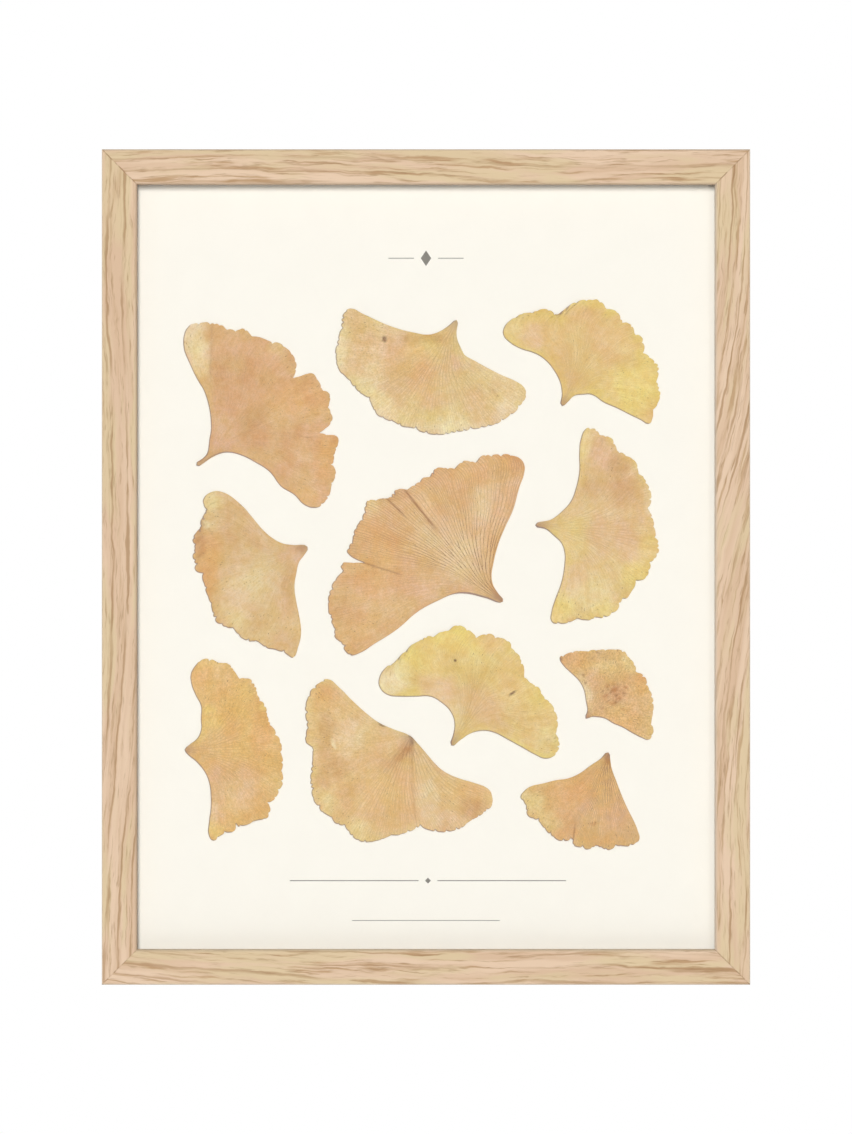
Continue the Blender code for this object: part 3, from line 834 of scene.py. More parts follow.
@dataclass(frozen=True)
class LeafFinish:
    """A pressed, dried blade.

    Body and margin are colours in steps of 0 to 255 on screen, and band is how far in the margin's colour
    reaches. Veined, flecked and rough are how much the veins, the brown flecks and the grain show. The grain
    is painted with shade and light on its relief: darker where it is sunk and paler where it is raised.
    """

    SWINGS: ClassVar[tuple[Swing, ...]] = (
        Swing("Clouds", (0.96, 0.91, 0.85), (1.04, 1.08, 1.14)),
        Swing("Hue", (1.01, 0.975, 1.03), (0.99, 1.02, 0.94)),
        Swing("Mottles", (0.96, 0.91, 0.82), (1.04, 1.08, 1.17)),
        Swing("Pleats", (1.015, 1.02, 1.035), (0.975, 0.955, 0.925), 0.35, 0.68),
        Swing("Threads", (0.97, 0.95, 0.925), (1.025, 1.04, 1.06)),
    )
    # Painted shade and light on the grain's relief: SUNK_SHADE darkens its hollows, RAISED_LIGHT lightens
    # its tops.
    SUNK_SHADE: ClassVar[Colour] = (-0.06, -0.075, -0.1)
    RAISED_LIGHT: ClassVar[Colour] = (0.06, 0.075, 0.105)

    name: str
    body: Colour
    margin: Colour
    band: float = 3.0
    veined: float = 0.4
    flecked: float = 0.2
    rough: float = 0.85
    vein: Colour = tone(148, 98, 62)
    between: Colour = tone(234, 202, 158)
    # rim: the painted edge shadow, a lilac-grey line along the outline
    rim: Colour = tone(144, 120, 118)
    fleck: Colour = tone(134, 88, 52)
    stalk: Colour = tone(186, 156, 134)
    relief: float = 0.06
    gloss: float = 0.3

    def make(self) -> bpy.types.Material:
        """Build the material. It reads the blade's own attributes: tint, form and fan.

        Returns:
            The material.
        """
        material, nodes, shader = new_material(self.name)
        place = nodes.place()
        tint = nodes.add("ShaderNodeAttribute", attribute_name="tint").outputs
        form = nodes.split(nodes.add("ShaderNodeAttribute", attribute_name="form").outputs["Vector"])
        fan = nodes.add("ShaderNodeAttribute", attribute_name="fan").outputs["Vector"]
        vein, inward, outward = form
        clear = nodes.split(fan)[2]
        blade = EFFECTS.use(nodes, Effect.BLADE, vector=place, fan=fan).outputs
        uneven = nodes.math("MULTIPLY_ADD", blade["Mottles"], 5.0, nodes.minus(inward, 2.5))
        band = nodes.rise(uneven, 0.3, self.band, 1.0, 0.0)
        band = nodes.times(band, nodes.rise(blade["Pleats"], 0.3, 0.6))
        colour = nodes.mix(nodes.times(band, 0.6), tone(*self.body), tone(*self.margin))
        colour = nodes.mix(tint["Alpha"], colour, tint["Color"])
        # The Grain swing paints shade into the grain's hollows and light on its tops.
        low, high = (tuple(1 + self.rough * by for by in bys) for bys in (self.SUNK_SHADE, self.RAISED_LIGHT))
        for swing in (*self.SWINGS, Swing("Grain", low, high)):
            share = nodes.rise(blade[swing.pattern], swing.start, swing.end)
            colour = nodes.mix(1.0, colour, nodes.mix(share, swing.low, swing.high), "MULTIPLY")
        patchy = nodes.rise(blade["Mottles"], 0.38, 0.56, 0.35, 1.0)
        depth = nodes.times(nodes.rise(outward, 0.15, 0.85, 1.0, 0.42), patchy)
        depth = nodes.times(nodes.times(depth, clear), self.veined)
        depth = nodes.times(depth, nodes.rise(blade["Grain"], 0.38, 0.58, 0.4, 1.15))
        line = nodes.times(nodes.rise(vein, 0.3, 0.9), depth)
        colour = nodes.mix(line, colour, self.vein)
        light = nodes.times(nodes.rise(vein, 0.0, 0.3, 0.28, 0.0), depth)
        colour = nodes.mix(light, colour, self.between)
        colour = nodes.mix(nodes.times(blade["Wrinkles"], 0.3), colour, self.fleck)
        dashes = nodes.stretch(fan, (1.35, 0.5, 0.0))
        spots = EFFECTS.use(nodes, Effect.FLECKS, vector=dashes, scale=1.0, share=self.flecked, size=0.19)
        flecks = nodes.times(spots.outputs[0], nodes.rise(blade["Hue"], 0.42, 0.6, 0.15, 0.8))
        colour = nodes.mix(flecks, colour, self.fleck)
        foot = nodes.rise(outward, 0.03, 0.11, 0.35, 0.0)
        colour = nodes.mix(foot, colour, self.stalk)
        # Painted edge shadow: a thin lilac-grey line along the outline, weaker on the edges that face the
        # light.
        colour = nodes.mix(nodes.rise(inward, 0.12, 0.46, 0.8, 0.0), colour, self.rim)
        rough = nodes.rise(blade["Grain"], 0.3, 0.7, 0.62, 0.8)
        nodes.fill(shader, {"Base Color": colour, "Roughness": rough})
        nodes.fill(shader, {"Normal": nodes.bump(blade["Height"], self.relief)})
        nodes.fill(shader, {"Specular IOR Level": self.gloss})
        return material


@dataclass(frozen=True)
class Leaf:
    """A pressed leaf on the card, in millimetres from the card's middle.

    Foot is its stalk's cut end, and shoulders are where its two sides meet the margin. Main_veins is how
    many veins leave the stalk, and each forks as often as forks says on the way to the margin. Clear is the
    part of the way across in which they show best. Wave is how high the blade stands at most, in its slow
    waves.
    """

    place: str
    foot: Spot
    shoulders: tuple[Spot, Spot]
    main_veins: int
    clear: Spot
    finish: LeafFinish
    stains: tuple[Stain, ...] = ()
    creases: tuple[Crease, ...] = ()
    seed: int = 1
    forks: int = 4
    wave: float = 0.3


LEAVES = (
    Leaf(
        "top_left",
        (-70.4, 31.1),
        ((-72.4, 74.1), (-33.9, 18.1)),
        7,
        (0.1, 0.9),
        LeafFinish("leaf_orange_tan", (213, 170, 124), (217, 181, 127), 2.5, 0.1, 0.55, 1.1),
        (
            Stain(Tint.TAN, (-53.1, 44.5), (6.0, 4.5), 30.0, 0.75),
            Stain(Tint.TAN, (-58.5, 60.0), (8.0, 9.0), 10.0, 0.5),
            Stain(Tint.ROSE, (-62.7, 44.0), (5.5, 7.5), 10.0, 0.6),
            Stain(Tint.ROSE, (-64.0, 37.7), (4.5, 2.5), 10.0, 0.6),
            Stain(Tint.APRICOT, (-30.6, 34.0), (4.5, 9.0), 0.0, 0.65),
            Stain(Tint.APRICOT, (-33.5, 51.0), (5.5, 5.0), 0.0, 0.45),
            Stain(Tint.STRAW, (-45.5, 67.0), (3.0, 3.0), -30.0, 0.3),
            Stain(Tint.APRICOT, (-42.5, 51.0), (7.0, 6.0), 20.0, 0.4),
            Stain(Tint.UMBER, (-52.0, 47.5), (4.5, 4.0), 0.0, 0.22),
            Stain(Tint.TAN, (-61.0, 62.5), (3.6, 5.5), 0.0, 0.45),
            Stain(Tint.TAN, (-42.0, 64.5), (4.0, 4.0), 0.0, 0.3),
            Stain(Tint.STRAW, (-37.5, 36.0), (3.6, 4.5), 0.0, 0.25),
            Stain(Tint.APRICOT, (-36.5, 22.0), (4.6, 3.4), -30.0, 0.35),
            Stain(Tint.IVORY, (-71.4, 71.5), (4.6, 9.0), 7.0, 0.76),
            Stain(Tint.STRAW, (-69.0, 61.5), (3.4, 6.5), 10.0, 0.6),
            Stain(Tint.UMBER, (-68.6, 34.0), (2.8, 1.2), 55.0, 0.8),
        ),
        (Crease((-65.6, 75.5), (-66.0, 57.0), 0.14, 0.18, 0.5, 0.16),),
        11,
    ),
    Leaf(
        "top_middle",
        (9.4, 75.7),
        ((-23.1, 79.2), (27.9, 56.7)),
        7,
        (0.35, 0.95),
        LeafFinish("leaf_pale_yellow_tan", (220, 188, 137), (227, 206, 152), 3.6, 0.45, 0.55, 1.5),
        (
            Stain(Tint.ROSE, (-12.0, 68.0), (11.0, 7.0), 10.0, 0.45),
            Stain(Tint.APRICOT, (-4.0, 64.0), (9.0, 6.0), 0.0, 0.3),
            Stain(Tint.IVORY, (-17.5, 56.5), (5.0, 4.5), -30.0, 0.4),
            Stain(Tint.IVORY, (-26.2, 67.0), (2.6, 6.0), 0.0, 0.5),
            Stain(Tint.ROSE, (-22.0, 75.5), (3.6, 3.6), 0.0, 0.4),
            Stain(Tint.UMBER, (0.5, 70.2), (7.0, 1.9), 0.0, 0.7),
            Stain(Tint.TAN, (-8.0, 56.0), (6.0, 4.5), 0.0, 0.25),
            Stain(Tint.LEMON, (-1.4, 68.2), (5.5, 5.0), 0.0, 0.35),
            Stain(Tint.APRICOT, (-1.4, 56.0), (6.0, 6.5), 0.0, 0.35),
            Stain(Tint.APRICOT, (6.5, 71.5), (3.0, 4.5), 0.0, 0.4),
            Stain(Tint.STRAW, (-13.2, 49.8), (6.0, 3.6), -30.0, 0.75),
            Stain(Tint.STRAW, (2.0, 45.0), (15.0, 4.4), 0.0, 0.7),
            Stain(Tint.IVORY, (4.0, 42.6), (16.0, 2.6), 0.0, 0.6),
            Stain(Tint.IVORY, (-15.0, 47.5), (6.0, 3.0), -35.0, 0.6),
            Stain(Tint.STRAW, (26.5, 53.0), (5.0, 6.0), 0.0, 0.45),
            Stain(Tint.IVORY, (24.0, 48.5), (5.0, 3.0), 35.0, 0.6),
            Stain(Tint.ROSE, (9.0, 62.8), (1.6, 2.6), 20.0, 0.6),
            Stain(Tint.UMBER, (20.8, 53.6), (0.8, 2.6), 40.0, 0.3),
            Stain(Tint.DARK, (-12.8, 69.9), (0.75, 1.0), 0.0, 0.95),
        ),
        (),
        12,
    ),
    Leaf(
        "top_right",
        (41.6, 49.3),
        ((26.1, 75.8), (68.1, 43.8)),
        7,
        (0.25, 0.8),
        LeafFinish("leaf_yellow_tan", (222, 188, 127), (229, 205, 122), 4.4, 0.2, 0.45),
        (
            Stain(Tint.ROSE, (32.1, 70.3), (5.5, 4.0), -20.0, 0.5),
            Stain(Tint.STRAW, (26.6, 73.2), (3.2, 3.6), 0.0, 0.4),
            Stain(Tint.ROSE, (46.0, 77.5), (5.0, 3.0), 0.0, 0.25),
            Stain(Tint.ROSE, (50.0, 68.5), (7.0, 6.5), 0.0, 0.2),
            Stain(Tint.TAN, (43.5, 63.0), (5.0, 8.0), 0.0, 0.22),
            Stain(Tint.LEMON, (67.8, 60.0), (4.5, 9.0), 0.0, 0.58),
            Stain(Tint.LEMON, (62.5, 54.0), (7.5, 9.0), 10.0, 0.6),
            Stain(Tint.APRICOT, (68.3, 45.5), (3.6, 3.0), 0.0, 0.35),
            Stain(Tint.LEMON, (52.5, 81.2), (7.0, 3.0), 0.0, 0.4),
            Stain(Tint.DARK, (40.0, 77.9), (1.2, 0.8), -30.0, 0.7),
            Stain(Tint.UMBER, (41.9, 50.4), (1.4, 2.0), 0.0, 0.4),
        ),
        (),
        13,
    ),
    Leaf(
        "middle_left",
        (-36.3, 6.2),
        ((-68.3, 20.7), (-40.8, -27.8)),
        7,
        (0.2, 0.8),
        LeafFinish("leaf_tan", (215, 181, 133), (217, 178, 120), 3.4, 0.1, 0.5),
        (
            Stain(Tint.IVORY, (-54.5, -6.0), (9.5, 9.5), 30.0, 0.35),
            Stain(Tint.TAN, (-60.0, 14.0), (6.0, 6.0), 0.0, 0.3),
            Stain(Tint.APRICOT, (-66.6, 1.0), (4.5, 10.0), 0.0, 0.7),
            Stain(Tint.TAN, (-69.0, 9.0), (2.4, 7.0), 0.0, 0.45),
            Stain(Tint.UMBER, (-69.2, 10.0), (1.8, 7.0), 0.0, 0.3),
            Stain(Tint.ROSE, (-54.5, 17.0), (3.0, 7.0), 30.0, 0.35),
            Stain(Tint.ROSE, (-51.1, 9.0), (5.0, 3.6), -30.0, 0.6),
            Stain(Tint.TAN, (-53.0, 7.5), (2.6, 1.8), -30.0, 0.5),
            Stain(Tint.TAN, (-43.0, -22.5), (4.0, 5.0), 0.0, 0.3),
            Stain(Tint.ROSE, (-42.0, -14.0), (3.6, 5.0), 0.0, 0.45),
            Stain(Tint.ROSE, (-41.5, 3.6), (4.6, 3.6), 0.0, 0.7),
            Stain(Tint.TAN, (-42.5, -6.0), (1.8, 8.0), 0.0, 0.5),
            Stain(Tint.STRAW, (-59.5, -14.5), (5.0, 3.6), -40.0, 0.35),
            Stain(Tint.STRAW, (-66.0, 20.0), (4.0, 3.0), 0.0, 0.45),
            Stain(Tint.IVORY, (-67.4, 13.0), (1.2, 1.7), 30.0, 0.6),
            Stain(Tint.UMBER, (-38.0, 5.8), (2.0, 1.2), 0.0, 0.6),
        ),
        (Crease((-69.5, 14.5), (-65.0, 9.8), 0.12, 0.12, 0.4, 0.22),),
        14,
    ),
    Leaf(
        "centre",
        (23.6, -10.6),
        ((-20.9, -26.6), (28.6, 33.4)),
        8,
        (0.38, 1.1),
        LeafFinish("leaf_orange_veined", (217, 177, 130), (219, 176, 122), 2.6, 1.05, 0.3, 1.35),
        (
            Stain(Tint.APRICOT, (25.1, 32.0), (6.5, 4.5), 0.0, 0.6),
            Stain(Tint.APRICOT, (14.0, 28.0), (8.0, 4.5), 10.0, 0.4),
            Stain(Tint.IVORY, (7.5, 7.0), (8.0, 13.0), 35.0, 0.68),
            Stain(Tint.IVORY, (18.0, 20.0), (4.0, 8.0), -20.0, 0.45),
            Stain(Tint.TAN, (1.4, 11.5), (3.6, 4.0), 0.0, 0.35),
            Stain(Tint.TAN, (22.5, 29.5), (3.6, 2.6), 0.0, 0.35),
            Stain(Tint.APRICOT, (-15.1, 9.2), (9.0, 5.0), -30.0, 0.5),
            Stain(Tint.STRAW, (-16.6, 18.8), (3.2, 3.2), 0.0, 0.45),
            Stain(Tint.ROSE, (-6.0, -6.0), (10.0, 4.5), -20.0, 0.25),
            Stain(Tint.APRICOT, (-21.5, -20.0), (6.5, 6.5), 0.0, 0.45),
            Stain(Tint.TAN, (-24.5, -13.0), (5.0, 8.0), 0.0, 0.4),
            Stain(Tint.TAN, (-22.5, -24.0), (5.0, 4.0), 0.0, 0.3),
            Stain(Tint.TAN, (-21.0, 6.5), (4.0, 4.0), 0.0, 0.35),
            Stain(Tint.UMBER, (-22.8, 5.0), (2.4, 3.0), 0.0, 0.3),
            Stain(Tint.UMBER, (-9.5, 22.0), (5.5, 2.6), 25.0, 0.3),
            Stain(Tint.APRICOT, (3.0, 18.0), (4.5, 4.5), 0.0, 0.3),
            Stain(Tint.ROSE, (23.6, 14.0), (4.0, 9.0), -15.0, 0.3),
            Stain(Tint.TAN, (17.0, -1.5), (4.0, 5.0), 0.0, 0.3),
            Stain(Tint.TAN, (28.0, 31.0), (2.6, 3.0), 0.0, 0.35),
            Stain(Tint.APRICOT, (-16.0, -3.0), (10.0, 8.0), 0.0, 0.4),
            Stain(Tint.ROSE, (0.5, -6.5), (6.0, 3.0), -20.0, 0.3),
            Stain(Tint.UMBER, (21.8, -8.0), (3.6, 1.3), -45.0, 0.6),
        ),
        (
            Crease((-12.2, 21.2), (-6.3, 15.4), 0.08, 0.08, 0.3, 0.75),
            Crease((-6.2, 23.2), (3.2, 11.2), 0.08, -0.1, 0.3, 0.8),
            Crease((-19.4, 1.4), (-7.0, -2.6), 0.06, 0.06, 0.3, 0.5),
        ),
        15,
        4,
        0.34,
    ),
    Leaf(
        "middle_right",
        (33.4, 12.8),
        ((48.9, 42.3), (38.4, -16.7)),
        7,
        (0.2, 0.8),
        LeafFinish("leaf_yellow_pink", (221, 188, 137), (228, 202, 134), 3.2, 0.3, 0.5, 1.0),
        (
            Stain(Tint.ROSE, (58.6, 11.0), (8.0, 10.0), 0.0, 0.45),
            Stain(Tint.TAN, (54.0, 29.0), (6.0, 8.5), 15.0, 0.4),
            Stain(Tint.ROSE, (55.6, 34.0), (4.6, 7.0), 20.0, 0.6),
            Stain(Tint.TAN, (60.5, 23.5), (5.5, 5.0), 20.0, 0.7),
            Stain(Tint.UMBER, (58.5, 31.5), (4.0, 5.0), 20.0, 0.36),
            Stain(Tint.TAN, (53.0, 37.0), (3.6, 4.0), 0.0, 0.4),
            Stain(Tint.ROSE, (45.5, 18.0), (3.0, 6.0), -30.0, 0.5),
            Stain(Tint.TAN, (52.0, 24.0), (4.0, 4.5), 0.0, 0.6),
            Stain(Tint.IVORY, (68.0, 20.5), (1.8, 5.5), 0.0, 0.4),
            Stain(Tint.STRAW, (49.0, 37.5), (1.8, 5.0), 0.0, 0.4),
            Stain(Tint.LEMON, (43.5, 9.5), (6.5, 6.5), 0.0, 0.35),
            Stain(Tint.LEMON, (68.6, 6.5), (3.4, 6.0), 0.0, 0.4),
            Stain(Tint.STRAW, (56.0, -1.0), (6.5, 6.0), 0.0, 0.45),
            Stain(Tint.LEMON, (65.0, -3.0), (4.6, 5.0), 20.0, 0.65),
            Stain(Tint.STRAW, (52.1, -9.5), (7.5, 5.0), 0.0, 0.7),
            Stain(Tint.LEMON, (55.0, -13.5), (5.5, 3.0), 0.0, 0.45),
            Stain(Tint.LEMON, (41.5, -13.5), (4.5, 4.5), 0.0, 0.6),
            Stain(Tint.LEMON, (57.0, 40.6), (3.0, 2.0), 0.0, 0.5),
            Stain(Tint.UMBER, (35.2, 12.8), (1.8, 0.9), 0.0, 0.4),
        ),
        (),
        16,
    ),
    Leaf(
        "lower_centre",
        (7.7, -54.7),
        ((-12.3, -30.7), (38.7, -58.2)),
        7,
        (0.3, 0.7),
        LeafFinish("leaf_yellow", (222, 192, 129), (230, 208, 130), 4.0, 0.3, 0.5),
        (
            Stain(Tint.LEMON, (8.5, -21.5), (8.5, 5.5), 0.0, 0.85),
            Stain(Tint.LEMON, (-3.0, -26.5), (8.0, 5.5), 30.0, 0.5),
            Stain(Tint.LEMON, (2.5, -31.0), (4.5, 4.0), 0.0, 0.35),
            Stain(Tint.STRAW, (-10.5, -34.5), (5.0, 5.0), 30.0, 0.95),
            Stain(Tint.IVORY, (-11.0, -34.0), (6.5, 5.5), 30.0, 0.4),
            Stain(Tint.APRICOT, (26.0, -32.0), (5.0, 6.0), 0.0, 0.25),
            Stain(Tint.ROSE, (12.7, -41.5), (9.0, 6.5), -10.0, 0.45),
            Stain(Tint.ROSE, (4.3, -36.5), (5.5, 4.0), 0.0, 0.5),
            Stain(Tint.APRICOT, (19.0, -23.5), (4.5, 4.5), 0.0, 0.3),
            Stain(Tint.TAN, (24.5, -47.0), (8.0, 4.5), -20.0, 0.25),
            Stain(Tint.STRAW, (36.0, -51.5), (4.0, 4.0), 0.0, 0.5),
            Stain(Tint.TAN, (36.5, -54.0), (3.0, 3.0), 0.0, 0.3),
            Stain(Tint.ROSE, (23.5, -49.5), (7.0, 2.4), -25.0, 0.35),
            Stain(Tint.LEMON, (33.5, -39.0), (4.5, 6.0), 0.0, 0.3),
            Stain(Tint.IVORY, (9.0, -47.5), (2.6, 5.5), -10.0, 0.35),
            Stain(Tint.ROSE, (3.0, -41.5), (5.0, 2.4), -30.0, 0.4),
            Stain(Tint.UMBER, (7.9, -52.4), (0.8, 3.0), -5.0, 0.6),
            Stain(Tint.DARK, (26.4, -38.7), (1.4, 0.4), 35.0, 0.9),
            Stain(Tint.DARK, (8.9, -28.6), (0.45, 0.45), 0.0, 0.9),
        ),
        (),
        17,
    ),
    Leaf(
        "small_right",
        (48.9, -46.5),
        ((40.9, -28.0), (67.9, -53.0)),
        6,
        (0.2, 0.8),
        LeafFinish("leaf_mottled_brown", (217, 178, 125), (222, 189, 126), 2.4, 0.2, 1.0, 2.3),
        (
            Stain(Tint.APRICOT, (45.5, -28.6), (4.5, 3.0), 0.0, 0.55),
            Stain(Tint.STRAW, (55.0, -30.5), (5.0, 2.6), 0.0, 0.35),
            Stain(Tint.TAN, (52.5, -27.4), (5.0, 1.8), 0.0, 0.5),
            Stain(Tint.TAN, (44.0, -28.0), (3.0, 2.0), 0.0, 0.4),
            Stain(Tint.TAN, (65.0, -48.5), (3.6, 4.0), 0.0, 0.4),
            Stain(Tint.STRAW, (62.0, -29.5), (2.6, 3.4), 30.0, 0.5),
            Stain(Tint.ROSE, (51.0, -37.0), (3.4, 5.0), 0.0, 0.6),
            Stain(Tint.IVORY, (48.6, -37.5), (2.0, 5.5), 20.0, 0.6),
            Stain(Tint.TAN, (57.1, -39.5), (4.5, 5.0), 0.0, 0.75),
            Stain(Tint.UMBER, (57.5, -39.0), (3.6, 3.6), 0.0, 0.2),
            Stain(Tint.RUST, (56.6, -38.3), (0.5, 0.4), 0.0, 0.8),
            Stain(Tint.RUST, (58.4, -39.2), (0.6, 0.4), 30.0, 0.8),
            Stain(Tint.RUST, (55.9, -41.0), (0.5, 0.4), 0.0, 0.7),
            Stain(Tint.RUST, (58.3, -41.4), (0.6, 0.5), -20.0, 0.8),
            Stain(Tint.RUST, (60.6, -38.6), (0.5, 0.4), 0.0, 0.6),
            Stain(Tint.RUST, (54.2, -37.8), (0.5, 0.4), 0.0, 0.7),
            Stain(Tint.RUST, (48.2, -33.0), (0.7, 0.5), 40.0, 0.6),
            Stain(Tint.RUST, (48.8, -35.4), (0.5, 0.6), 0.0, 0.6),
            Stain(Tint.UMBER, (57.6, -37.6), (1.1, 0.8), 20.0, 0.8),
            Stain(Tint.UMBER, (55.6, -36.4), (0.7, 0.5), -30.0, 0.8),
            Stain(Tint.UMBER, (55.2, -39.4), (0.8, 0.6), 0.0, 0.8),
            Stain(Tint.UMBER, (59.3, -40.3), (0.8, 0.5), 40.0, 0.8),
            Stain(Tint.UMBER, (57.0, -42.0), (1.0, 0.7), -20.0, 0.75),
            Stain(Tint.UMBER, (54.0, -43.2), (0.6, 0.5), 0.0, 0.7),
            Stain(Tint.UMBER, (61.2, -36.8), (0.9, 0.6), 0.0, 0.75),
            Stain(Tint.UMBER, (60.2, -43.6), (0.7, 0.5), 0.0, 0.6),
            Stain(Tint.APRICOT, (66.4, -35.4), (2.2, 3.2), 0.0, 0.7),
            Stain(Tint.APRICOT, (59.0, -46.5), (7.0, 4.5), -30.0, 0.55),
            Stain(Tint.DARK, (40.8, -28.4), (1.1, 0.9), 0.0, 0.6),
            Stain(Tint.UMBER, (49.3, -45.6), (1.2, 1.6), 0.0, 0.5),
        ),
        (),
        18,
    ),
    Leaf(
        "bottom_left",
        (-74.0, -56.0),
        ((-70.5, -30.0), (-66.5, -82.5)),
        7,
        (0.2, 0.9),
        LeafFinish("leaf_golden", (220, 179, 117), (225, 189, 122), 3.0, 0.3, 0.6, 1.7),
        (
            Stain(Tint.APRICOT, (-68.5, -32.5), (4.5, 4.0), 0.0, 0.35),
            Stain(Tint.LEMON, (-56.5, -45.0), (7.0, 7.0), 0.0, 0.3),
            Stain(Tint.ROSE, (-62.3, -33.0), (3.6, 3.6), 0.0, 0.3),
            Stain(Tint.APRICOT, (-62.0, -41.5), (9.0, 8.0), 0.0, 0.4),
            Stain(Tint.APRICOT, (-49.8, -50.5), (4.2, 9.5), -8.0, 0.65),
            Stain(Tint.APRICOT, (-65.0, -52.0), (6.5, 8.0), 0.0, 0.5),
            Stain(Tint.LEMON, (-66.0, -50.5), (5.5, 6.5), 0.0, 0.4),
            Stain(Tint.TAN, (-65.5, -53.5), (4.5, 5.0), 0.0, 0.3),
            Stain(Tint.ROSE, (-58.4, -67.0), (7.0, 7.0), 0.0, 0.5),
            Stain(Tint.IVORY, (-55.0, -69.0), (5.0, 7.0), 0.0, 0.16),
            Stain(Tint.ROSE, (-64.4, -69.5), (3.0, 8.5), 0.0, 0.6),
            Stain(Tint.IVORY, (-65.0, -75.0), (2.0, 4.5), 0.0, 0.3),
            Stain(Tint.STRAW, (-47.0, -67.0), (3.6, 6.0), 0.0, 0.4),
            Stain(Tint.LEMON, (-64.6, -80.5), (3.0, 2.6), 0.0, 0.4),
            Stain(Tint.LEMON, (-66.4, -43.6), (2.0, 1.5), 0.0, 0.55),
            Stain(Tint.LEMON, (-49.6, -42.8), (1.8, 1.8), 0.0, 0.55),
            Stain(Tint.UMBER, (-72.6, -56.0), (1.8, 1.0), 0.0, 0.35),
        ),
        (),
        19,
    ),
    Leaf(
        "bottom_middle",
        (-4.7, -51.8),
        ((-30.2, -34.3), (18.8, -67.8)),
        8,
        (0.52, 1.1),
        LeafFinish("leaf_tan_blotched", (220, 183, 131), (227, 202, 145), 3.2, 0.55, 0.5, 1.3),
        (
            Stain(Tint.APRICOT, (-32.0, -40.0), (5.0, 4.5), 0.0, 0.5),
            Stain(Tint.IVORY, (-22.9, -51.5), (5.5, 6.0), 0.0, 0.6),
            Stain(Tint.TAN, (-30.5, -49.0), (2.6, 5.5), 0.0, 0.6),
            Stain(Tint.TAN, (-27.3, -61.0), (3.6, 4.0), 20.0, 0.65),
            Stain(Tint.UMBER, (-30.8, -54.5), (3.0, 4.0), 0.0, 0.26),
            Stain(Tint.UMBER, (-31.5, -65.0), (2.6, 4.0), 0.0, 0.22),
            Stain(Tint.STRAW, (-30.0, -71.5), (3.6, 5.0), 20.0, 0.45),
            Stain(Tint.STRAW, (-19.5, -80.0), (7.0, 3.0), -10.0, 0.4),
            Stain(Tint.STRAW, (-15.5, -71.5), (6.0, 4.5), 0.0, 0.3),
            Stain(Tint.APRICOT, (-12.0, -69.0), (8.0, 6.5), 0.0, 0.35),
            Stain(Tint.IVORY, (0.4, -68.5), (3.8, 10.5), 0.0, 0.5),
            Stain(Tint.ROSE, (8.0, -79.0), (6.5, 3.5), 0.0, 0.6),
            Stain(Tint.APRICOT, (14.0, -70.0), (5.5, 5.0), -20.0, 0.45),
            Stain(Tint.TAN, (15.0, -73.5), (4.5, 4.0), 0.0, 0.45),
            Stain(Tint.UMBER, (14.0, -74.0), (5.0, 3.6), 0.0, 0.22),
            Stain(Tint.IVORY, (4.5, -76.0), (3.0, 3.0), 0.0, 0.35),
            Stain(Tint.ROSE, (-1.0, -57.5), (3.6, 3.0), 0.0, 0.5),
            Stain(Tint.IVORY, (0.0, -59.0), (2.6, 2.6), 0.0, 0.25),
            Stain(Tint.RUST, (-5.0, -55.8), (1.6, 2.0), -30.0, 0.35),
            Stain(Tint.ROSE, (5.0, -61.5), (5.0, 2.4), -35.0, 0.7),
            Stain(Tint.UMBER, (-7.4, -56.6), (1.9, 5.0), -42.0, 0.5),
            Stain(Tint.TAN, (-11.0, -60.5), (3.6, 2.4), 30.0, 0.5),
            Stain(Tint.DARK, (-4.3, -53.4), (0.9, 1.3), -30.0, 0.7),
            Stain(Tint.IVORY, (-28.3, -54.4), (0.7, 1.8), 20.0, 0.85),
            Stain(Tint.DARK, (-13.8, -48.3), (1.1, 0.5), -25.0, 0.75),
        ),
        (
            Crease((-4.5, -54.1), (-4.3, -66.0), 0.12, 0.1, 0.3, 0.25),
            Crease((-4.3, -66.0), (-2.9, -79.6), 0.12, 0.1, 0.3, 0.2),
        ),
        20,
        4,
        0.34,
    ),
    Leaf(
        "bottom_right",
        (55.9, -56.8),
        ((28.9, -70.3), (65.4, -83.3)),
        6,
        (0.45, 1.1),
        LeafFinish("leaf_deep_orange", (216, 174, 121), (225, 194, 135), 2.8, 0.85, 0.6, 1.8),
        (
            Stain(Tint.STRAW, (31.8, -72.0), (4.2, 4.2), 0.0, 0.65),
            Stain(Tint.STRAW, (38.0, -78.0), (4.5, 3.0), -30.0, 0.5),
            Stain(Tint.APRICOT, (42.5, -82.0), (5.0, 2.4), -10.0, 0.4),
            Stain(Tint.APRICOT, (47.5, -67.2), (8.5, 5.0), 20.0, 0.55),
            Stain(Tint.TAN, (55.4, -62.0), (2.2, 5.0), 0.0, 0.6),
            Stain(Tint.ROSE, (59.5, -77.6), (5.0, 7.0), 0.0, 0.3),
            Stain(Tint.APRICOT, (53.5, -71.0), (6.5, 6.0), 0.0, 0.35),
            Stain(Tint.ROSE, (50.0, -76.0), (4.5, 4.0), 0.0, 0.35),
            Stain(Tint.APRICOT, (54.5, -84.0), (6.5, 1.8), 0.0, 0.5),
            Stain(Tint.ROSE, (64.0, -82.0), (2.6, 4.0), 20.0, 0.3),
            Stain(Tint.UMBER, (51.2, -78.7), (1.5, 0.8), 15.0, 0.55),
            Stain(Tint.UMBER, (55.8, -58.4), (1.0, 2.4), 0.0, 0.75),
        ),
        (Crease((45.0, -84.2), (45.8, -78.0), 0.12, 0.12, 0.3, 0.45),),
        21,
    ),
)


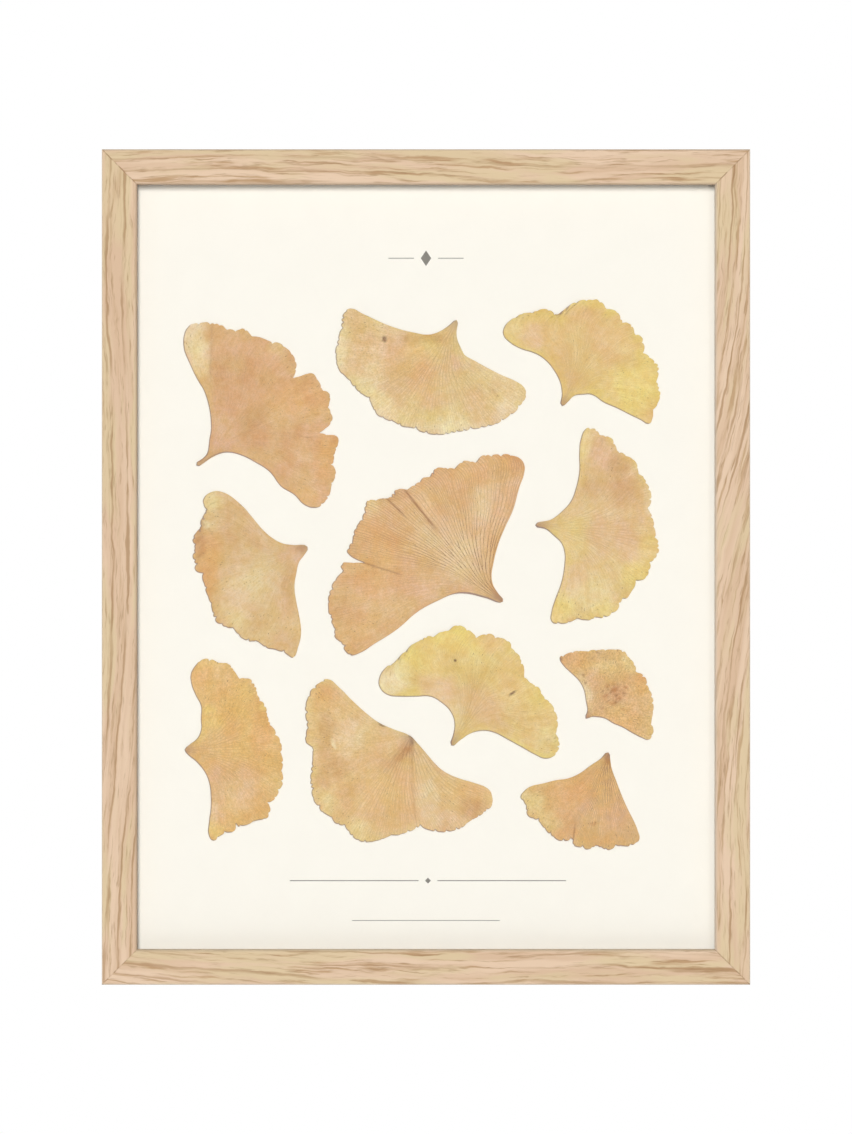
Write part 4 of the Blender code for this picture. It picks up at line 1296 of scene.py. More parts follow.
def settle(model: Model, name: str, material: bpy.types.Material) -> bpy.types.Object:
    """Make an object of a finished mesh.

    Args:
        model: the mesh in the making, which is given up.
        name: the object's name.
        material: its material.

    Returns:
        The object, which sits at the origin with its place in its mesh.
    """
    mesh = bpy.data.meshes.new(name)
    model.to_mesh(mesh)
    model.free()
    mesh.materials.append(material)
    thing = bpy.data.objects.new(name, mesh)
    bpy.context.scene.collection.objects.link(thing)
    return thing


def stand_for(piece: bpy.types.Object, node: str) -> None:
    """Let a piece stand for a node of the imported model.

    Args:
        piece: the finished piece.
        node: the node's name.
    """
    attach(piece, "root")
    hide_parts(node)
    LOG.info("%s: %d faces", piece.name, len(piece.data.polygons))


def dress(frame: dict, material: bpy.types.Material, *names: str) -> None:
    """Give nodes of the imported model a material.

    Args:
        frame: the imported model.
        material: the material.
        names: the nodes' names.
    """
    for name in names:
        for slot in frame["nodes"][name].material_slots:
            slot.link = "OBJECT"
            slot.material = material
        LOG.info("%s: %s", name, material.name)


class Edge:
    """A stretch of a leaf's outline, read by the share of the way along it."""

    CORNER = math.cos(math.radians(24))

    def __init__(self, points: np.ndarray, weights: np.ndarray | None = None) -> None:
        """Measure the stretch.

        Args:
            points: its points in order.
            weights: what each step between points counts for, or None for its length.
        """
        self.points = points
        steps = np.diff(points, axis=0)
        self.lengths = np.linalg.norm(steps, axis=1)
        counted = self.lengths if weights is None else weights
        self.along = np.concatenate([[0.0], np.cumsum(counted)]) / counted.sum()
        ways = steps / self.lengths[:, None]
        before, after = np.vstack([ways[:1], ways]), np.vstack([ways, ways[-1:]])
        sharp = (before * after).sum(axis=1) < self.CORNER
        smooth = before + after
        smooth /= np.linalg.norm(smooth, axis=1)[:, None]
        self.leaving = np.where(sharp[:, None], after, smooth)
        self.arriving = np.where(sharp[:, None], before, smooth)

    def at(self, share: np.ndarray) -> np.ndarray:
        """The places at these shares of the way, on a smooth line through the points.

        Args:
            share: shares of 0 to 1.

        Returns:
            The places.
        """
        step = np.clip(np.searchsorted(self.along, share, side="right") - 1, 0, len(self.lengths) - 1)
        s = ((share - self.along[step]) / (self.along[step + 1] - self.along[step]))[:, None]
        reach = self.lengths[step][:, None]
        start, end = self.points[step], self.points[step + 1]
        out = self.leaving[step] * reach
        into = self.arriving[step + 1] * reach
        square, cube = s * s, s * s * s
        places = (2 * cube - 3 * square + 1) * start + (cube - 2 * square + s) * out
        return places + (3 * square - 2 * cube) * end + (cube - square) * into


class Blade:
    """Builds one leaf: a thin sheet whose rows and columns follow its veins, within its node's outline.

    Lengths are in millimetres. LOWEST to STALK and VEIN_HEIGHT are the parts of its height over its rest on
    the card, and MOST_LIFT limits them. FRAY is the margin's fine unevenness, of two kinds, each with its
    length, its row in the bumps and its depth. The rim carries a painted edge shadow, a thin dark line along
    the outline: SHADOW_SIDE is the way that the edges with the darkest painted shadow face, away from the
    light, LEAST_SHADOW is how much of it the other edges keep, and RIM_SHADOW_GAP is how far the line is
    thinned where it is weak. The DRAW numbers tell the random draws apart.
    """

    THICKNESS = 0.2
    ABOVE_CARD = 0.05
    LOWEST = 0.06
    PLEAT = 0.07
    RUFFLE = 0.2
    CRUMPLE = 0.05
    CURL = 0.16
    STALK = 0.42
    MOST_LIFT = 0.8
    TOOTH_SPACING = (1.2, 3.8)
    TOOTH_DEPTH = (0.12, 0.95)
    EDGE_STEP = 0.12
    RIM_SHADOW_GAP = 0.42
    ROW_HEIGHT = 0.57
    MARGIN_PULL = 0.72
    COLUMN = 0.22
    VEIN_HEIGHT = 0.05
    VEIN_WIDTH = 0.16
    NOTCH_SHARE = 0.3
    COLUMNS_TO_A_VEIN = 4
    FRAY = ((3.1, 5.5, 0.16), (0.95, 9.5, 0.11))
    TOOTHLESS = 1.5
    SHADOW_SIDE = (-0.85, -0.5)
    LEAST_SHADOW = 0.12
    LEAST_CLEAR = 0.2
    STAIN_DRAW = 50
    FORK_DRAW = 100
    TOOTH_DRAW = 200

    def __init__(self, leaf: Leaf, node: bpy.types.Object) -> None:
        """Read the outline of the leaf's node.

        Args:
            leaf: the leaf's own facts.
            node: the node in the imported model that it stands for.
        """
        self.leaf = leaf
        self.node = node
        self.outline = self.read_outline()
        first, second = (self.nearest(spot) for spot in leaf.shoulders)
        if first > second:
            self.outline = np.vstack([self.outline[:1], self.outline[:0:-1]])
            first, second = (self.nearest(spot) for spot in leaf.shoulders)
        self.first_side = Edge(self.outline[: first + 1])
        self.second_side = Edge(np.vstack([self.outline[:1], self.outline[:second - 1:-1]]))
        self.margin = self.margin_edge(self.outline[first : second + 1])
        self.veins = leaf.main_veins * 2**leaf.forks
        self.waver = Bumps(leaf.seed)
        self.shares = np.linspace(0.0, 1.0, 48)
        self.widths = self.row_widths()
        self.fork_shares = self.plan_forks()
        self.teeth = self.plan_teeth()

    def nearest(self, spot: Spot) -> int:
        """The number of the outline's point that is nearest to a spot."""
        return int(np.argmin(np.linalg.norm(self.outline - np.array(spot), axis=1)))

    def read_outline(self) -> np.ndarray:
        """The front edge of the node.

        Returns:
            The points, in order from the foot, in millimetres from the card's middle.
        """
        model = bmesh.new()
        model.from_mesh(self.node.data)
        bmesh.ops.remove_doubles(model, verts=model.verts, dist=2 * NEAR)
        back = [face for face in model.faces if face.normal.y > -0.9]
        bmesh.ops.delete(model, geom=back, context="FACES")
        start = next(edge for edge in model.edges if edge.is_boundary)
        here, loop = start.verts[0], []
        edge = start
        while True:
            loop.append((here.co.x / MM, here.co.z / MM - MIDDLE))
            here = edge.other_vert(here)
            edge = next(e for e in here.link_edges if e.is_boundary and e is not edge)
            if edge is start:
                break
        model.free()
        points = np.array(loop)
        foot = int(np.argmin(np.linalg.norm(points - np.array(self.leaf.foot), axis=1)))
        return np.roll(points, -foot, axis=0)

    def margin_edge(self, points: np.ndarray) -> Edge:
        """The margin, on which a step along a vein counts for less than one across the veins.

        Args:
            points: the outline's points from one shoulder to the other.

        Returns:
            The margin.
        """
        steps = np.diff(points, axis=0)
        middles = (points[1:] + points[:-1]) / 2 - np.array(self.leaf.foot)
        outward = middles / np.linalg.norm(middles, axis=1)[:, None]
        along = np.abs((steps * outward).sum(axis=1))
        across = np.abs(steps[:, 0] * outward[:, 1] - steps[:, 1] * outward[:, 0])
        return Edge(points, across + self.NOTCH_SHARE * along)

    def spread(self, across: np.ndarray, outward: np.ndarray) -> np.ndarray:
        """Places on the flat blade.

        Args:
            across: the share of the way from the first side to the second.
            outward: the share of the way from the foot to the margin.

        Returns:
            The places in millimetres from the card's middle.
        """
        u, t = across[:, None], outward[:, None]
        sides = (1 - u) * self.first_side.at(outward) + u * self.second_side.at(outward)
        ends = (1 - u) * self.margin.points[0] + u * self.margin.points[-1]
        return sides + t * (self.margin.at(across) - ends)

    def row_widths(self) -> np.ndarray:
        """How long the row across all the veins is, at each of a few shares of the way outward.

        Returns:
            The widths in millimetres, which never grow less.
        """
        across = np.linspace(0.0, 1.0, 65)
        widths = []
        for share in self.shares:
            row = self.spread(across, np.full_like(across, share))
            widths.append(np.linalg.norm(np.diff(row, axis=0), axis=1).sum())
        return np.maximum.accumulate(widths)

    def plan_forks(self) -> list[np.ndarray]:
        """Decide where the veins fork.

        Returns:
            For each round, the share of the way outward at which each vein forks.
        """
        draw = np.random.default_rng(self.leaf.seed + self.FORK_DRAW)
        pitch = self.widths[-1] / self.veins
        rounds = []
        before = np.zeros(self.leaf.main_veins)
        for number in range(self.leaf.forks):
            veins = self.leaf.main_veins * 2**number
            wide = draw.uniform(1.0, 1.75, veins) * pitch * veins
            share = np.interp(wide, self.widths, self.shares, right=2.0)
            share = np.maximum(share, before + 0.02)
            rounds.append(share)
            before = np.repeat(share, 2)
        return rounds

    def vein_distance(self, across: np.ndarray, outward: np.ndarray) -> np.ndarray:
        """How far each place is from its nearest vein.

        Args:
            across: the share of the way from the first side to the second.
            outward: the share of the way from the foot to the margin.

        Returns:
            The distance of each place in millimetres.
        """
        width = np.interp(outward, self.shares, self.widths)
        veins = self.leaf.main_veins
        slot = np.clip((across * veins).astype(int), 0, veins - 1)
        middle = (slot + 0.5) / veins
        for share in self.fork_shares:
            veins *= 2
            parted = ease(outward - share[slot], 0.0, 0.07)
            slot = np.clip((across * veins).astype(int), 0, veins - 1)
            own = (slot + 0.5) / veins
            middle = np.where(parted > 0, middle + (own - middle) * parted, middle)
        return np.abs(across - middle) * width

    def trimmed(self, across: np.ndarray, outward: np.ndarray) -> np.ndarray:
        """Places on the flat blade once its margin has its fine teeth.

        Args:
            across: the share of the way from the first side to the second.
            outward: the share of the way from the foot to the margin.

        Returns:
            The places in millimetres from the card's middle.
        """
        places = self.spread(across, outward)
        length = self.margin.lengths.sum()
        here = across * length
        cut = np.zeros_like(here)
        for span, row, depth in self.FRAY:
            cut += (self.waver.at(here / span, np.full_like(here, row)) + 1) * depth
        for spot, depth, width in self.teeth:
            cut += depth * np.exp(-np.abs(here - spot) / width)
        cut *= ease(here, 0.0, 2.5) * (1 - ease(here, length - 2.5, length))
        way = places - np.array(self.leaf.foot)
        way /= np.maximum(np.linalg.norm(way, axis=1), 0.001)[:, None]
        return places - way * (cut * ease(outward, 0.55, 1.0))[:, None]

    def plan_teeth(self) -> list[tuple[float, float, float]]:
        """Decide where the margin's small notches are, how deep they go and how wide they open.

        Returns:
            For each notch, how far along the margin it is, its depth and its width in millimetres.
        """
        draw = np.random.default_rng(self.leaf.seed + self.TOOTH_DRAW)
        here, teeth = self.TOOTHLESS, []
        while here < self.margin.lengths.sum() - self.TOOTHLESS:
            teeth.append((here, draw.uniform(*self.TOOTH_DEPTH) ** 1.3, draw.uniform(0.2, 0.6)))
            here += draw.uniform(*self.TOOTH_SPACING)
        return teeth

    def rim(self) -> tuple[KDTree, np.ndarray]:
        """Follow the blade's finished outline.

        Returns:
            The points, to be searched, and the way that the outline faces at each of them.
        """
        loop = []
        for side, back in ((self.first_side, False), (self.second_side, True)):
            share = np.linspace(0.0, 1.0, round(side.lengths.sum() / self.EDGE_STEP))
            loop.append(side.at(share[::-1] if back else share))
        share = np.linspace(0.0, 1.0, round(self.margin.lengths.sum() / self.EDGE_STEP))
        loop.insert(1, self.trimmed(share, np.ones_like(share)))
        points = np.vstack(loop)
        way = np.roll(points, -3, axis=0) - np.roll(points, 3, axis=0)
        turned = (points[:, 0] * np.roll(points[:, 1], -1) - np.roll(points[:, 0], -1) * points[:, 1]).sum()
        facing = np.column_stack([way[:, 1], -way[:, 0]]) * math.copysign(1.0, turned)
        facing /= np.maximum(np.linalg.norm(facing, axis=1), 0.001)[:, None]
        tree = KDTree(len(points))
        for number, (right, up) in enumerate(points):
            tree.insert((right, up, 0.0), number)
        tree.balance()
        return tree, facing

    def from_edge(self, places: np.ndarray) -> tuple[np.ndarray, np.ndarray]:
        """How far each place is from the outline, and how dark the rim is there.

        Args:
            places: the places on the flat blade.

        Returns:
            The distances in millimetres, and how strong the painted edge shadow is beside each place.
        """
        tree, facing = self.rim()
        found = [tree.find((right, up, 0.0)) for right, up in places]
        inward = np.array([distance for _, _, distance in found])
        nearest = facing[[number for _, number, _ in found]]
        # Painted edge shadow: strongest on edges that face SHADOW_SIDE, down and to the left, away from the
        # light.
        dark = ease(nearest @ np.array(self.SHADOW_SIDE), -0.35, 0.6)
        return inward, self.LEAST_SHADOW + (1 - self.LEAST_SHADOW) * dark

    def grid(self) -> Model:
        """Make a flat grid with finer columns where the blade is wider.

        Returns:
            The grid, whose X is the share across and whose Y is the share outward.
        """
        length = (self.first_side.lengths.sum() + self.second_side.lengths.sum()) / 2
        rows = max(24, round(length / self.ROW_HEIGHT))
        columns = self.leaf.main_veins * 2
        model = bmesh.new()
        bmesh.ops.create_grid(model, x_segments=columns, y_segments=rows, size=0.5)
        bmesh.ops.translate(model, verts=model.verts, vec=(0.5, 0.5, 0.0))
        while columns < self.veins * self.COLUMNS_TO_A_VEIN:
            wide = np.interp(self.COLUMN * columns, self.widths, self.shares, right=0.9)
            lying = [
                edge
                for edge in model.edges
                if abs(edge.verts[0].co.y - edge.verts[1].co.y) < NEAR
                and self.pulled(edge.verts[0].co.y) >= wide
            ]
            bmesh.ops.subdivide_edges(model, edges=lying, cuts=1, use_single_edge=True)
            columns *= 2
        return model

    def pulled(self, share: float | np.ndarray) -> float | np.ndarray:
        """Draw the rows closer together towards the margin."""
        return (1 - self.MARGIN_PULL) * share + self.MARGIN_PULL * (1 - (1 - share) ** 2)

    def lift(
        self, across: np.ndarray, outward: np.ndarray, places: np.ndarray, inward: np.ndarray
    ) -> np.ndarray:
        """How high the blade stands over its rest on the card, in millimetres.

        Args:
            across: the share of the way from the first side to the second.
            outward: the share of the way from the foot to the margin.
            places: the places on the flat blade.
            inward: how far each place is from the outline.

        Returns:
            The height of each place.
        """
        pleat = self.waver.at(across * self.veins / 5 + 7, outward * 3 + 2) * self.PLEAT
        pleat *= ease(outward, 0.1, 0.5)
        swell = (self.waver.at(places[:, 0] / 13 + 30, places[:, 1] / 13 + 30) + 1) / 2 * self.leaf.wave
        ruffle = (self.waver.at(across * self.margin.lengths.sum() / 6, outward * 2) + 1) / 2 * self.RUFFLE
        height = self.LOWEST + pleat + swell * ease(outward, 0.0, 0.5) + ruffle * ease(outward, 0.7, 0.95)
        crumple = self.waver.at(places[:, 0] / 3.3 + 11, places[:, 1] / 3.3 + 11) * self.CRUMPLE
        height = (height + crumple) * (0.15 + 0.85 * ease(inward, 0.0, 1.8))
        curl = ease(self.waver.at(places[:, 0] / 9 + 3, places[:, 1] / 9 + 3), 0.3, 0.9) * self.CURL
        height += curl * (1 - ease(inward, 0.0, 2.2))
        height += self.VEIN_HEIGHT * self.ridges(across, outward)
        for crease in self.leaf.creases:
            height += self.pressed(crease, places)
        stalk = np.sin(np.pi * across) * (1 - ease(outward, 0.06, 0.2))
        return np.clip(height + self.STALK * stalk, 0.0, self.MOST_LIFT)

    def ridges(self, across: np.ndarray, outward: np.ndarray) -> np.ndarray:
        """The veins' profile: 1 on each vein and 0 between them."""
        return np.exp(-((self.vein_distance(across, outward) / self.VEIN_WIDTH) ** 2))

    def beside(self, crease: Crease, places: np.ndarray) -> tuple[np.ndarray, np.ndarray]:
        """How far each place is to the left of a crease, and whether it lies beside it.

        Args:
            crease: the crease.
            places: the places on the flat blade.

        Returns:
            The distances to the left in millimetres, and how much each place feels of the crease.
        """
        start, end = np.array(crease.start), np.array(crease.end)
        way = end - start
        length = np.linalg.norm(way)
        way = way / length
        offset = places - start
        along = offset @ way
        left = offset[:, 1] * way[0] - offset[:, 0] * way[1]
        return left, ease(along, -1.5, 1.0) * (1 - ease(along, length - 3.0, length + 1.5))

    def pressed(self, crease: Crease, places: np.ndarray) -> np.ndarray:
        """The height that a crease adds to each place.

        Args:
            crease: the crease.
            places: the places on the flat blade.

        Returns:
            The added heights in millimetres.
        """
        left, held = self.beside(crease, places)
        ridge = crease.lift * np.exp(-np.abs(left) / crease.width)
        side = crease.step * ease(left, -0.25, 0.25) * (1 - ease(np.abs(left), 1.0, 6.0))
        return (ridge + side) * held

    def tints(self, places: np.ndarray) -> np.ndarray:
        """Lay the stains' and the creases' colours over the blade.

        Args:
            places: the places on the flat blade.

        Returns:
            For each place the laid colour and the share of the blade's own that it covers.
        """
        painted = np.zeros((len(places), 3))
        cover = np.zeros(len(places))
        uneven = Bumps(self.leaf.seed + self.STAIN_DRAW)
        for number, stain in enumerate(self.leaf.stains):
            turn = math.radians(stain.turn)
            offset = places - np.array(stain.middle)
            right = (offset[:, 0] * math.cos(turn) + offset[:, 1] * math.sin(turn)) / stain.size[0]
            above = (offset[:, 1] * math.cos(turn) - offset[:, 0] * math.sin(turn)) / stain.size[1]
            small = min(stain.size)
            ragged = uneven.at(places[:, 0] / small * 1.3 + 9 * number, places[:, 1] / small * 1.3) * 0.3
            share = (1 - ease(np.hypot(right, above) + ragged, 0.35, 1.35)) * stain.strength
            painted, cover = self.laid(painted, cover, stain.tint, share)
        # Each crease gets a dark rust line: partly the crease's own brown, partly painted shade in its fold.
        for crease in self.leaf.creases:
            left, held = self.beside(crease, places)
            share = np.exp(-((left / crease.width) ** 2)) * held * crease.shade
            painted, cover = self.laid(painted, cover, Tint.RUST, share)
        return np.column_stack([painted / np.maximum(cover, 0.001)[:, None], cover])

    def laid(
        self, painted: np.ndarray, cover: np.ndarray, tint: Tint, share: np.ndarray
    ) -> tuple[np.ndarray, np.ndarray]:
        """Lay one more colour over what is painted already.

        Args:
            painted: the colour so far, times how much of it covers.
            cover: how much it covers so far.
            tint: the colour to lay.
            share: how much the new colour covers.

        Returns:
            The new colour, times its cover, and the new cover.
        """
        painted = painted * (1 - share)[:, None] + share[:, None] * np.array(tone(*tint.value))
        return painted, cover * (1 - share) + share

    def make(self) -> bpy.types.Object:
        """Build the leaf's mesh with its attributes and its material.

        Returns:
            The leaf's object.
        """
        model = self.grid()
        across = np.array([vert.co.x for vert in model.verts])
        outward = self.pulled(np.array([vert.co.y for vert in model.verts]))
        shaken = self.waver.at(across * self.veins / 2.3, outward * 2.5 + 20) * 0.3 / self.veins
        drift = across + shaken * ease(across, 0.0, 0.04) * (1 - ease(across, 0.96, 1.0))
        places = self.trimmed(drift, outward)
        inward, shade = self.from_edge(places)
        height = self.lift(across, outward, places, inward)
        rest = CARD_FRONT - self.ABOVE_CARD - self.THICKNESS
        for vert, (right, up), back in zip(model.verts, places, rest - height):
            vert.co = (right * MM, back * MM, (up + MIDDLE) * MM)
        # Where the painted edge shadow is weak, the distance from the outline that the material reads grows
        # by up to RIM_SHADOW_GAP, which thins the line.
        self.mark(model, across, outward, places, inward + self.RIM_SHADOW_GAP * (1 - shade))
        bmesh.ops.remove_doubles(model, verts=model.verts, dist=NEAR)
        self.thicken(model)
        blade = settle(model, f"pressed_leaf_{self.leaf.place}", self.leaf.finish.make())
        blade.data.shade_smooth()
        return blade

    def mark(
        self,
        model: Model,
        across: np.ndarray,
        outward: np.ndarray,
        places: np.ndarray,
        inward: np.ndarray,
    ) -> None:
        """Give each point what the material reads.

        Args:
            model: the blade in the making.
            across: the share of the way from the first side to the second.
            outward: the share of the way from the foot to the margin.
            places: the places on the flat blade.
            inward: how far each place is from the outline.
        """
        tint_layer = model.verts.layers.float_color.new("tint")
        form_layer = model.verts.layers.float_vector.new("form")
        fan_layer = model.verts.layers.float_vector.new("fan")
        form = np.column_stack([self.ridges(across, outward), inward, outward])
        reach = self.first_side.lengths.sum()
        low, high = self.leaf.clear
        clear = ease(across, low - 0.15, low + 0.1) * (1 - ease(across, high - 0.1, high + 0.15))
        clear = self.LEAST_CLEAR + (1 - self.LEAST_CLEAR) * clear
        fan = np.column_stack([across * self.widths[-1] + 37 * self.leaf.seed, outward * reach, clear])
        for vert, tint, shape, ray in zip(model.verts, self.tints(places), form, fan):
            vert[tint_layer] = tint
            vert[form_layer] = shape
            vert[fan_layer] = ray

    def thicken(self, model: Model) -> None:
        """Give the blade its back, a thickness behind its front, and close its rim.

        Args:
            model: the blade in the making, which has only its front.
        """
        grown = bmesh.ops.extrude_face_region(model, geom=model.faces[:])
        back = [item for item in grown["geom"] if isinstance(item, bmesh.types.BMVert)]
        bmesh.ops.translate(model, verts=back, vec=(0.0, self.THICKNESS * MM, 0.0))
        bmesh.ops.recalc_face_normals(model, faces=model.faces)
        if model.calc_volume(signed=True) < 0:
            bmesh.ops.reverse_faces(model, faces=model.faces)


class Side(Enum):
    """The frame's four sides, each with the turn about Y that takes the left rail's place to it."""

    LEFT = 0.0
    TOP = 90.0
    RIGHT = 180.0
    BOTTOM = 270.0

    @property
    def upright(self) -> bool:
        """Whether the rail stands."""
        return self in (Side.LEFT, Side.RIGHT)


@dataclass
class OakFrame:
    """The four mitred rails, made finer than their nodes: rounder edges and closed joints.

    The eases are how far the edges are rounded, station is the step between cuts along a rail, joint is
    the gap at a mitre, and unevenness is how deep the sanding goes, all in millimetres. Edges that turn by
    more than sharp, in degrees, are shaded crisp.
    """

    front_ease: float = 0.6
    opening_ease: float = 0.6
    back_ease: float = 0.4
    ease_steps: int = 6
    station: float = 4.0
    joint: float = 0.01
    unevenness: float = 0.05
    sharp: float = 35.0

    def section(self, model: Model) -> None:
        """Draw the moulding's section in a mesh: X runs inward from the outer edge, Y to the back.

        Args:
            model: an empty mesh.
        """
        rabbet = RAIL_WIDTH - LIP_WIDTH
        back = FRONT + FRAME_DEPTH
        corners = (
            (0.0, FRONT, self.front_ease),
            (RAIL_WIDTH, FRONT, self.opening_ease),
            (RAIL_WIDTH, FRONT + LIP_THICKNESS, 0.0),
            (rabbet, FRONT + LIP_THICKNESS, 0.0),
            (rabbet, back, 0.0),
            (0.0, back, self.back_ease),
        )
        verts = [model.verts.new((x * MM, y * MM, 0.0)) for x, y, _ in corners]
        model.faces.new(verts)
        for vert, (_, _, eased) in zip(verts, corners):
            if eased:
                bmesh.ops.bevel(
                    model,
                    geom=[vert],
                    offset=eased * MM,
                    segments=self.ease_steps,
                    profile=0.5,
                    affect="VERTICES",
                    material=-1,
                )

    def rail(self, side: Side, finish: OakFinish) -> bpy.types.Object:
        """Build one rail.

        Args:
            side: the side of the frame that it lies on.
            finish: its own oak.

        Returns:
            The rail's object, with its place in its mesh.
        """
        length = FRAME_HEIGHT if side.upright else FRAME_WIDTH
        model = bmesh.new()
        self.section(model)
        grown = bmesh.ops.extrude_face_region(model, geom=model.faces[:], use_keep_orig=True)
        moved = [item for item in grown["geom"] if isinstance(item, bmesh.types.BMVert)]
        bmesh.ops.translate(model, verts=moved, vec=(0.0, 0.0, length * MM))
        bmesh.ops.translate(model, verts=model.verts, vec=(0.0, 0.0, -length / 2 * MM))
        stations = round(length / self.station)
        for number in range(1, stations):
            self.cut(model, (number / stations - 0.5) * length, (0.0, 0.0, 1.0), False)
        for way in (1, -1):
            reach = length / 2 - self.joint / 2 * math.sqrt(2)
            self.cut(model, way * reach, (1.0, 0.0, float(way)), True)
        bmesh.ops.recalc_face_normals(model, faces=model.faces)
        self.wear(model, side)
        half = FRAME_WIDTH / 2 if side.upright else FRAME_HEIGHT / 2
        outward = Matrix.Translation((-half * MM, 0.0, 0.0))
        turn = Matrix.Rotation(math.radians(side.value), 4, "Y")
        place = Matrix.Translation((0.0, 0.0, MIDDLE * MM)) @ turn @ outward
        bmesh.ops.transform(model, matrix=place, verts=model.verts)
        rail = settle(model, f"oak_rail_{side.name.lower()}", finish.make())
        rail.data.shade_smooth()
        rail.data.set_sharp_from_angle(angle=math.radians(self.sharp))
        return rail

    def cut(self, model: Model, height: float, way: Place, clear: bool) -> None:
        """Cut a rail by a plane.

        Args:
            model: the rail in the making.
            height: where the plane crosses the outer edge, in millimetres along the rail.
            way: the direction that the plane faces.
            clear: whether what lies past the plane is taken away and the cut is closed.
        """
        cut = bmesh.ops.bisect_plane(
            model,
            geom=[*model.verts, *model.edges, *model.faces],
            dist=NEAR,
            plane_co=(0.0, 0.0, height * MM),
            plane_no=way,
            clear_outer=clear,
        )
        if clear:
            rim = [item for item in cut["geom_cut"] if isinstance(item, bmesh.types.BMEdge)]
            bmesh.ops.contextual_create(model, geom=rim)

    def wear(self, model: Model, side: Side) -> None:
        """Sand the front edges down a little here and there, never past the section.

        Args:
            model: the rail in the making.
            side: the side that it is made for.
        """
        bumps = Bumps(int(side.value) + 5)
        for vert in model.verts:
            if vert.co.y > (FRONT + self.front_ease) * MM:
                continue
            along = np.array([vert.co.z / MM / 9])
            sunk = (bumps.at(along, np.array([vert.co.x / MM / 6]))[0] + 1) / 2 * self.unevenness
            vert.co.y += sunk * MM

    def make(self) -> None:
        """Build the four rails and let them stand for their nodes."""
        # dark, grey and brown are the shade painted along each rail's inner edge: darkest on the left and
        # top rails, whose inner edges face away from the key lamp.
        dark, grey, brown = tone(182, 158, 134), tone(200, 186, 170), tone(190, 172, 146)
        grains = {
            Side.LEFT: (0.0, -1.5, 2.0, -1.5, 1.0, 0.75, 0.5, dark),
            Side.TOP: (90.0, 0.0, 1.2, 0.4, 2.0, 0.4, 1.0, dark),
            Side.RIGHT: (0.0, -7.1, 5.0, -3.94, 3.0, 0.75, 0.85, grey),
            Side.BOTTOM: (90.0, -3.0, 2.5, -2.25, 4.0, 0.6, 1.1, brown),
        }
        for side, grain in grains.items():
            name = side.name.lower()
            rail = self.rail(side, OakFinish(f"oak_{name}", *grain))
            stand_for(rail, f"rail_{name}")


@dataclass
class Herbarium:
    """The leaves on their card, and the pane in front of them."""

    def make(self, frame: dict) -> None:
        """Build each leaf, and finish the card and the pane.

        Args:
            frame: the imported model.
        """
        for leaf in LEAVES:
            name = f"leaf_{leaf.place}"
            stand_for(Blade(leaf, frame["nodes"][name]).make(), name)
        dress(frame, CardFinish().make(), "sheet")
        dress(frame, PaneFinish().make(), "glass_pane")


@dataclass
class FrameBack:
    """What shows from behind: the board, the points that hold it, and the hanger with its rivets."""

    sides: tuple[str, ...] = ("top", "bottom", "left", "right")

    def make(self, frame: dict) -> None:
        """Finish the board and the steel pieces.

        Args:
            frame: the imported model.
        """
        dress(frame, HardboardFinish().make(), "backing_board")
        points = [f"point_{side}_{number}" for side in self.sides for number in (1, 2)]
        dress(frame, SteelFinish().make(), *points, "hanger", "rivet_left", "rivet_right")


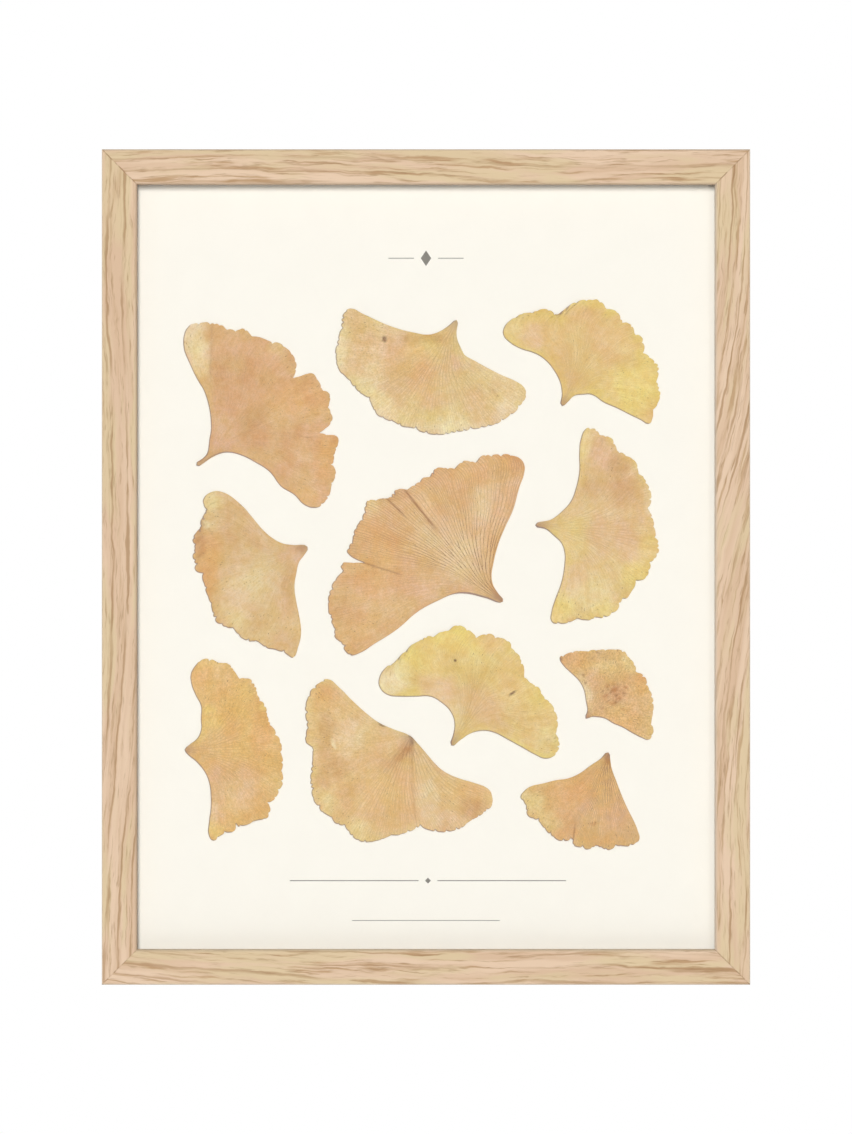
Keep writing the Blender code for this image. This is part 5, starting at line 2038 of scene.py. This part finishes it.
@dataclass
class Studio:
    """The floor, the soft lamps, the white surroundings and the camera.

    Lengths are in millimetres. Each lamp has its name, its place and its size in metres, and its power in
    watts. The key hangs in front, above and a little to the left, the fill in front and to the right, and
    the others light the sides and the back. As light on the object the surroundings are as strong as
    dim_light says, and in reflections as strong as dim_shine says.
    """

    view_height: float = 346.6
    distance: float = 2400.0
    sensor: float = 36.0
    farthest: float = 60000.0
    floor_drop: float = 2600.0
    floor_size: float = 40000.0
    floor_rough: float = 0.9
    dim_light: float = 0.06
    dim_shine: float = 0.74
    lamps: tuple[tuple[str, Place, Spot, float], ...] = (
        ("key", (-0.44, -6.0, 1.45), (1.1, 1.7), 308.0),
        ("fill", (1.6, -5.9, 0.1), (0.6, 0.6), 34.0),
        ("left_side", (-2.4, 1.0, 0.9), (1.2, 1.2), 45.0),
        ("right_side", (2.4, 1.0, 0.9), (1.2, 1.2), 45.0),
        ("back", (0.4, 3.0, 1.0), (1.2, 1.2), 45.0),
    )

    def make(self) -> None:
        """Set everything up."""
        self.lay_floor()
        for lamp in self.lamps:
            self.hang(*lamp)
        self.surround()
        self.aim_camera()
        settings = bpy.context.scene.view_settings
        settings.view_transform = "Standard"
        settings.look = "None"

    def lay_floor(self) -> None:
        """Lay a plain pale floor far below the frame, which hangs. It looks as pale from everywhere."""
        model = bmesh.new()
        bmesh.ops.create_grid(model, x_segments=2, y_segments=2, size=self.floor_size / 2 * MM)
        bmesh.ops.translate(model, verts=model.verts, vec=(0.0, 0.0, -self.floor_drop * MM))
        material, nodes, shader = new_material("pale_floor")
        clouds = nodes.noise(nodes.place(), scale=0.002, detail=2.0)
        shade = nodes.mix(clouds, tone(246, 246, 246), tone(243, 243, 243))
        nodes.fill(shader, {"Base Color": shade, "Roughness": self.floor_rough})
        glow = nodes.add("ShaderNodeEmission")
        nodes.fill(glow, {"Color": shade})
        by_camera = nodes.add("ShaderNodeLightPath").outputs["Is Camera Ray"]
        seen = [by_camera, shader.outputs[0], glow.outputs[0]]
        show(nodes, nodes.work_out("ShaderNodeMixShader", seen)[0])
        settle(model, "floor", material)

    def hang(self, name: str, place: Place, size: Spot, power: float) -> None:
        """Hang a soft lamp that faces the frame.

        Args:
            name: the lamp's name.
            place: where it hangs, in metres.
            size: its width and height in metres.
            power: its power in watts.
        """
        data = bpy.data.lights.new(name, "AREA")
        data.shape = "RECTANGLE"
        data.size, data.size_y = size
        data.energy = power
        lamp = bpy.data.objects.new(name, data)
        lamp.location = place
        way = Vector((0.0, 0.0, MIDDLE * MM)) - Vector(place)
        lamp.rotation_euler = way.to_track_quat("-Z", "Y").to_euler()
        lamp.visible_glossy = False
        bpy.context.scene.collection.objects.link(lamp)

    def surround(self) -> None:
        """Make the surroundings white to the camera, and dimmer as light and in reflections."""
        world = bpy.data.worlds.new("white_studio")
        world.use_nodes = True
        world.node_tree.nodes.clear()
        nodes = Nodes(world.node_tree)
        ray = nodes.add("ShaderNodeLightPath").outputs
        more = self.dim_shine - self.dim_light
        dim = nodes.math("MULTIPLY_ADD", ray["Is Glossy Ray"], more, self.dim_light)
        strength = nodes.math("MULTIPLY_ADD", ray["Is Camera Ray"], nodes.minus(1.0, dim), dim)
        background = nodes.add("ShaderNodeBackground")
        nodes.fill(background, {"Color": (1.0, 1.0, 1.0), "Strength": strength})
        nodes.fill(nodes.add("ShaderNodeOutputWorld"), {"Surface": background.outputs[0]})
        bpy.context.scene.world = world

    def aim_camera(self) -> None:
        """Set up the camera square to the frame, from far off with a long lens."""
        data = bpy.data.cameras.new("camera")
        data.sensor_width = self.sensor
        data.lens = self.sensor * (self.distance + FRONT) / self.view_height
        data.clip_end = self.farthest * MM
        camera = bpy.data.objects.new("camera", data)
        camera.location = (0.0, -self.distance * MM, MIDDLE * MM)
        camera.rotation_euler = (math.radians(90), 0.0, 0.0)
        bpy.context.scene.collection.objects.link(camera)
        bpy.context.scene.camera = camera


def main() -> None:
    """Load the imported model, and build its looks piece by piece."""
    logging.basicConfig(level=logging.INFO, format="%(name)s: %(message)s")
    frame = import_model()
    Studio().make()
    OakFrame().make()
    Herbarium().make(frame)
    FrameBack().make(frame)


if __name__ == "__main__":
    main()
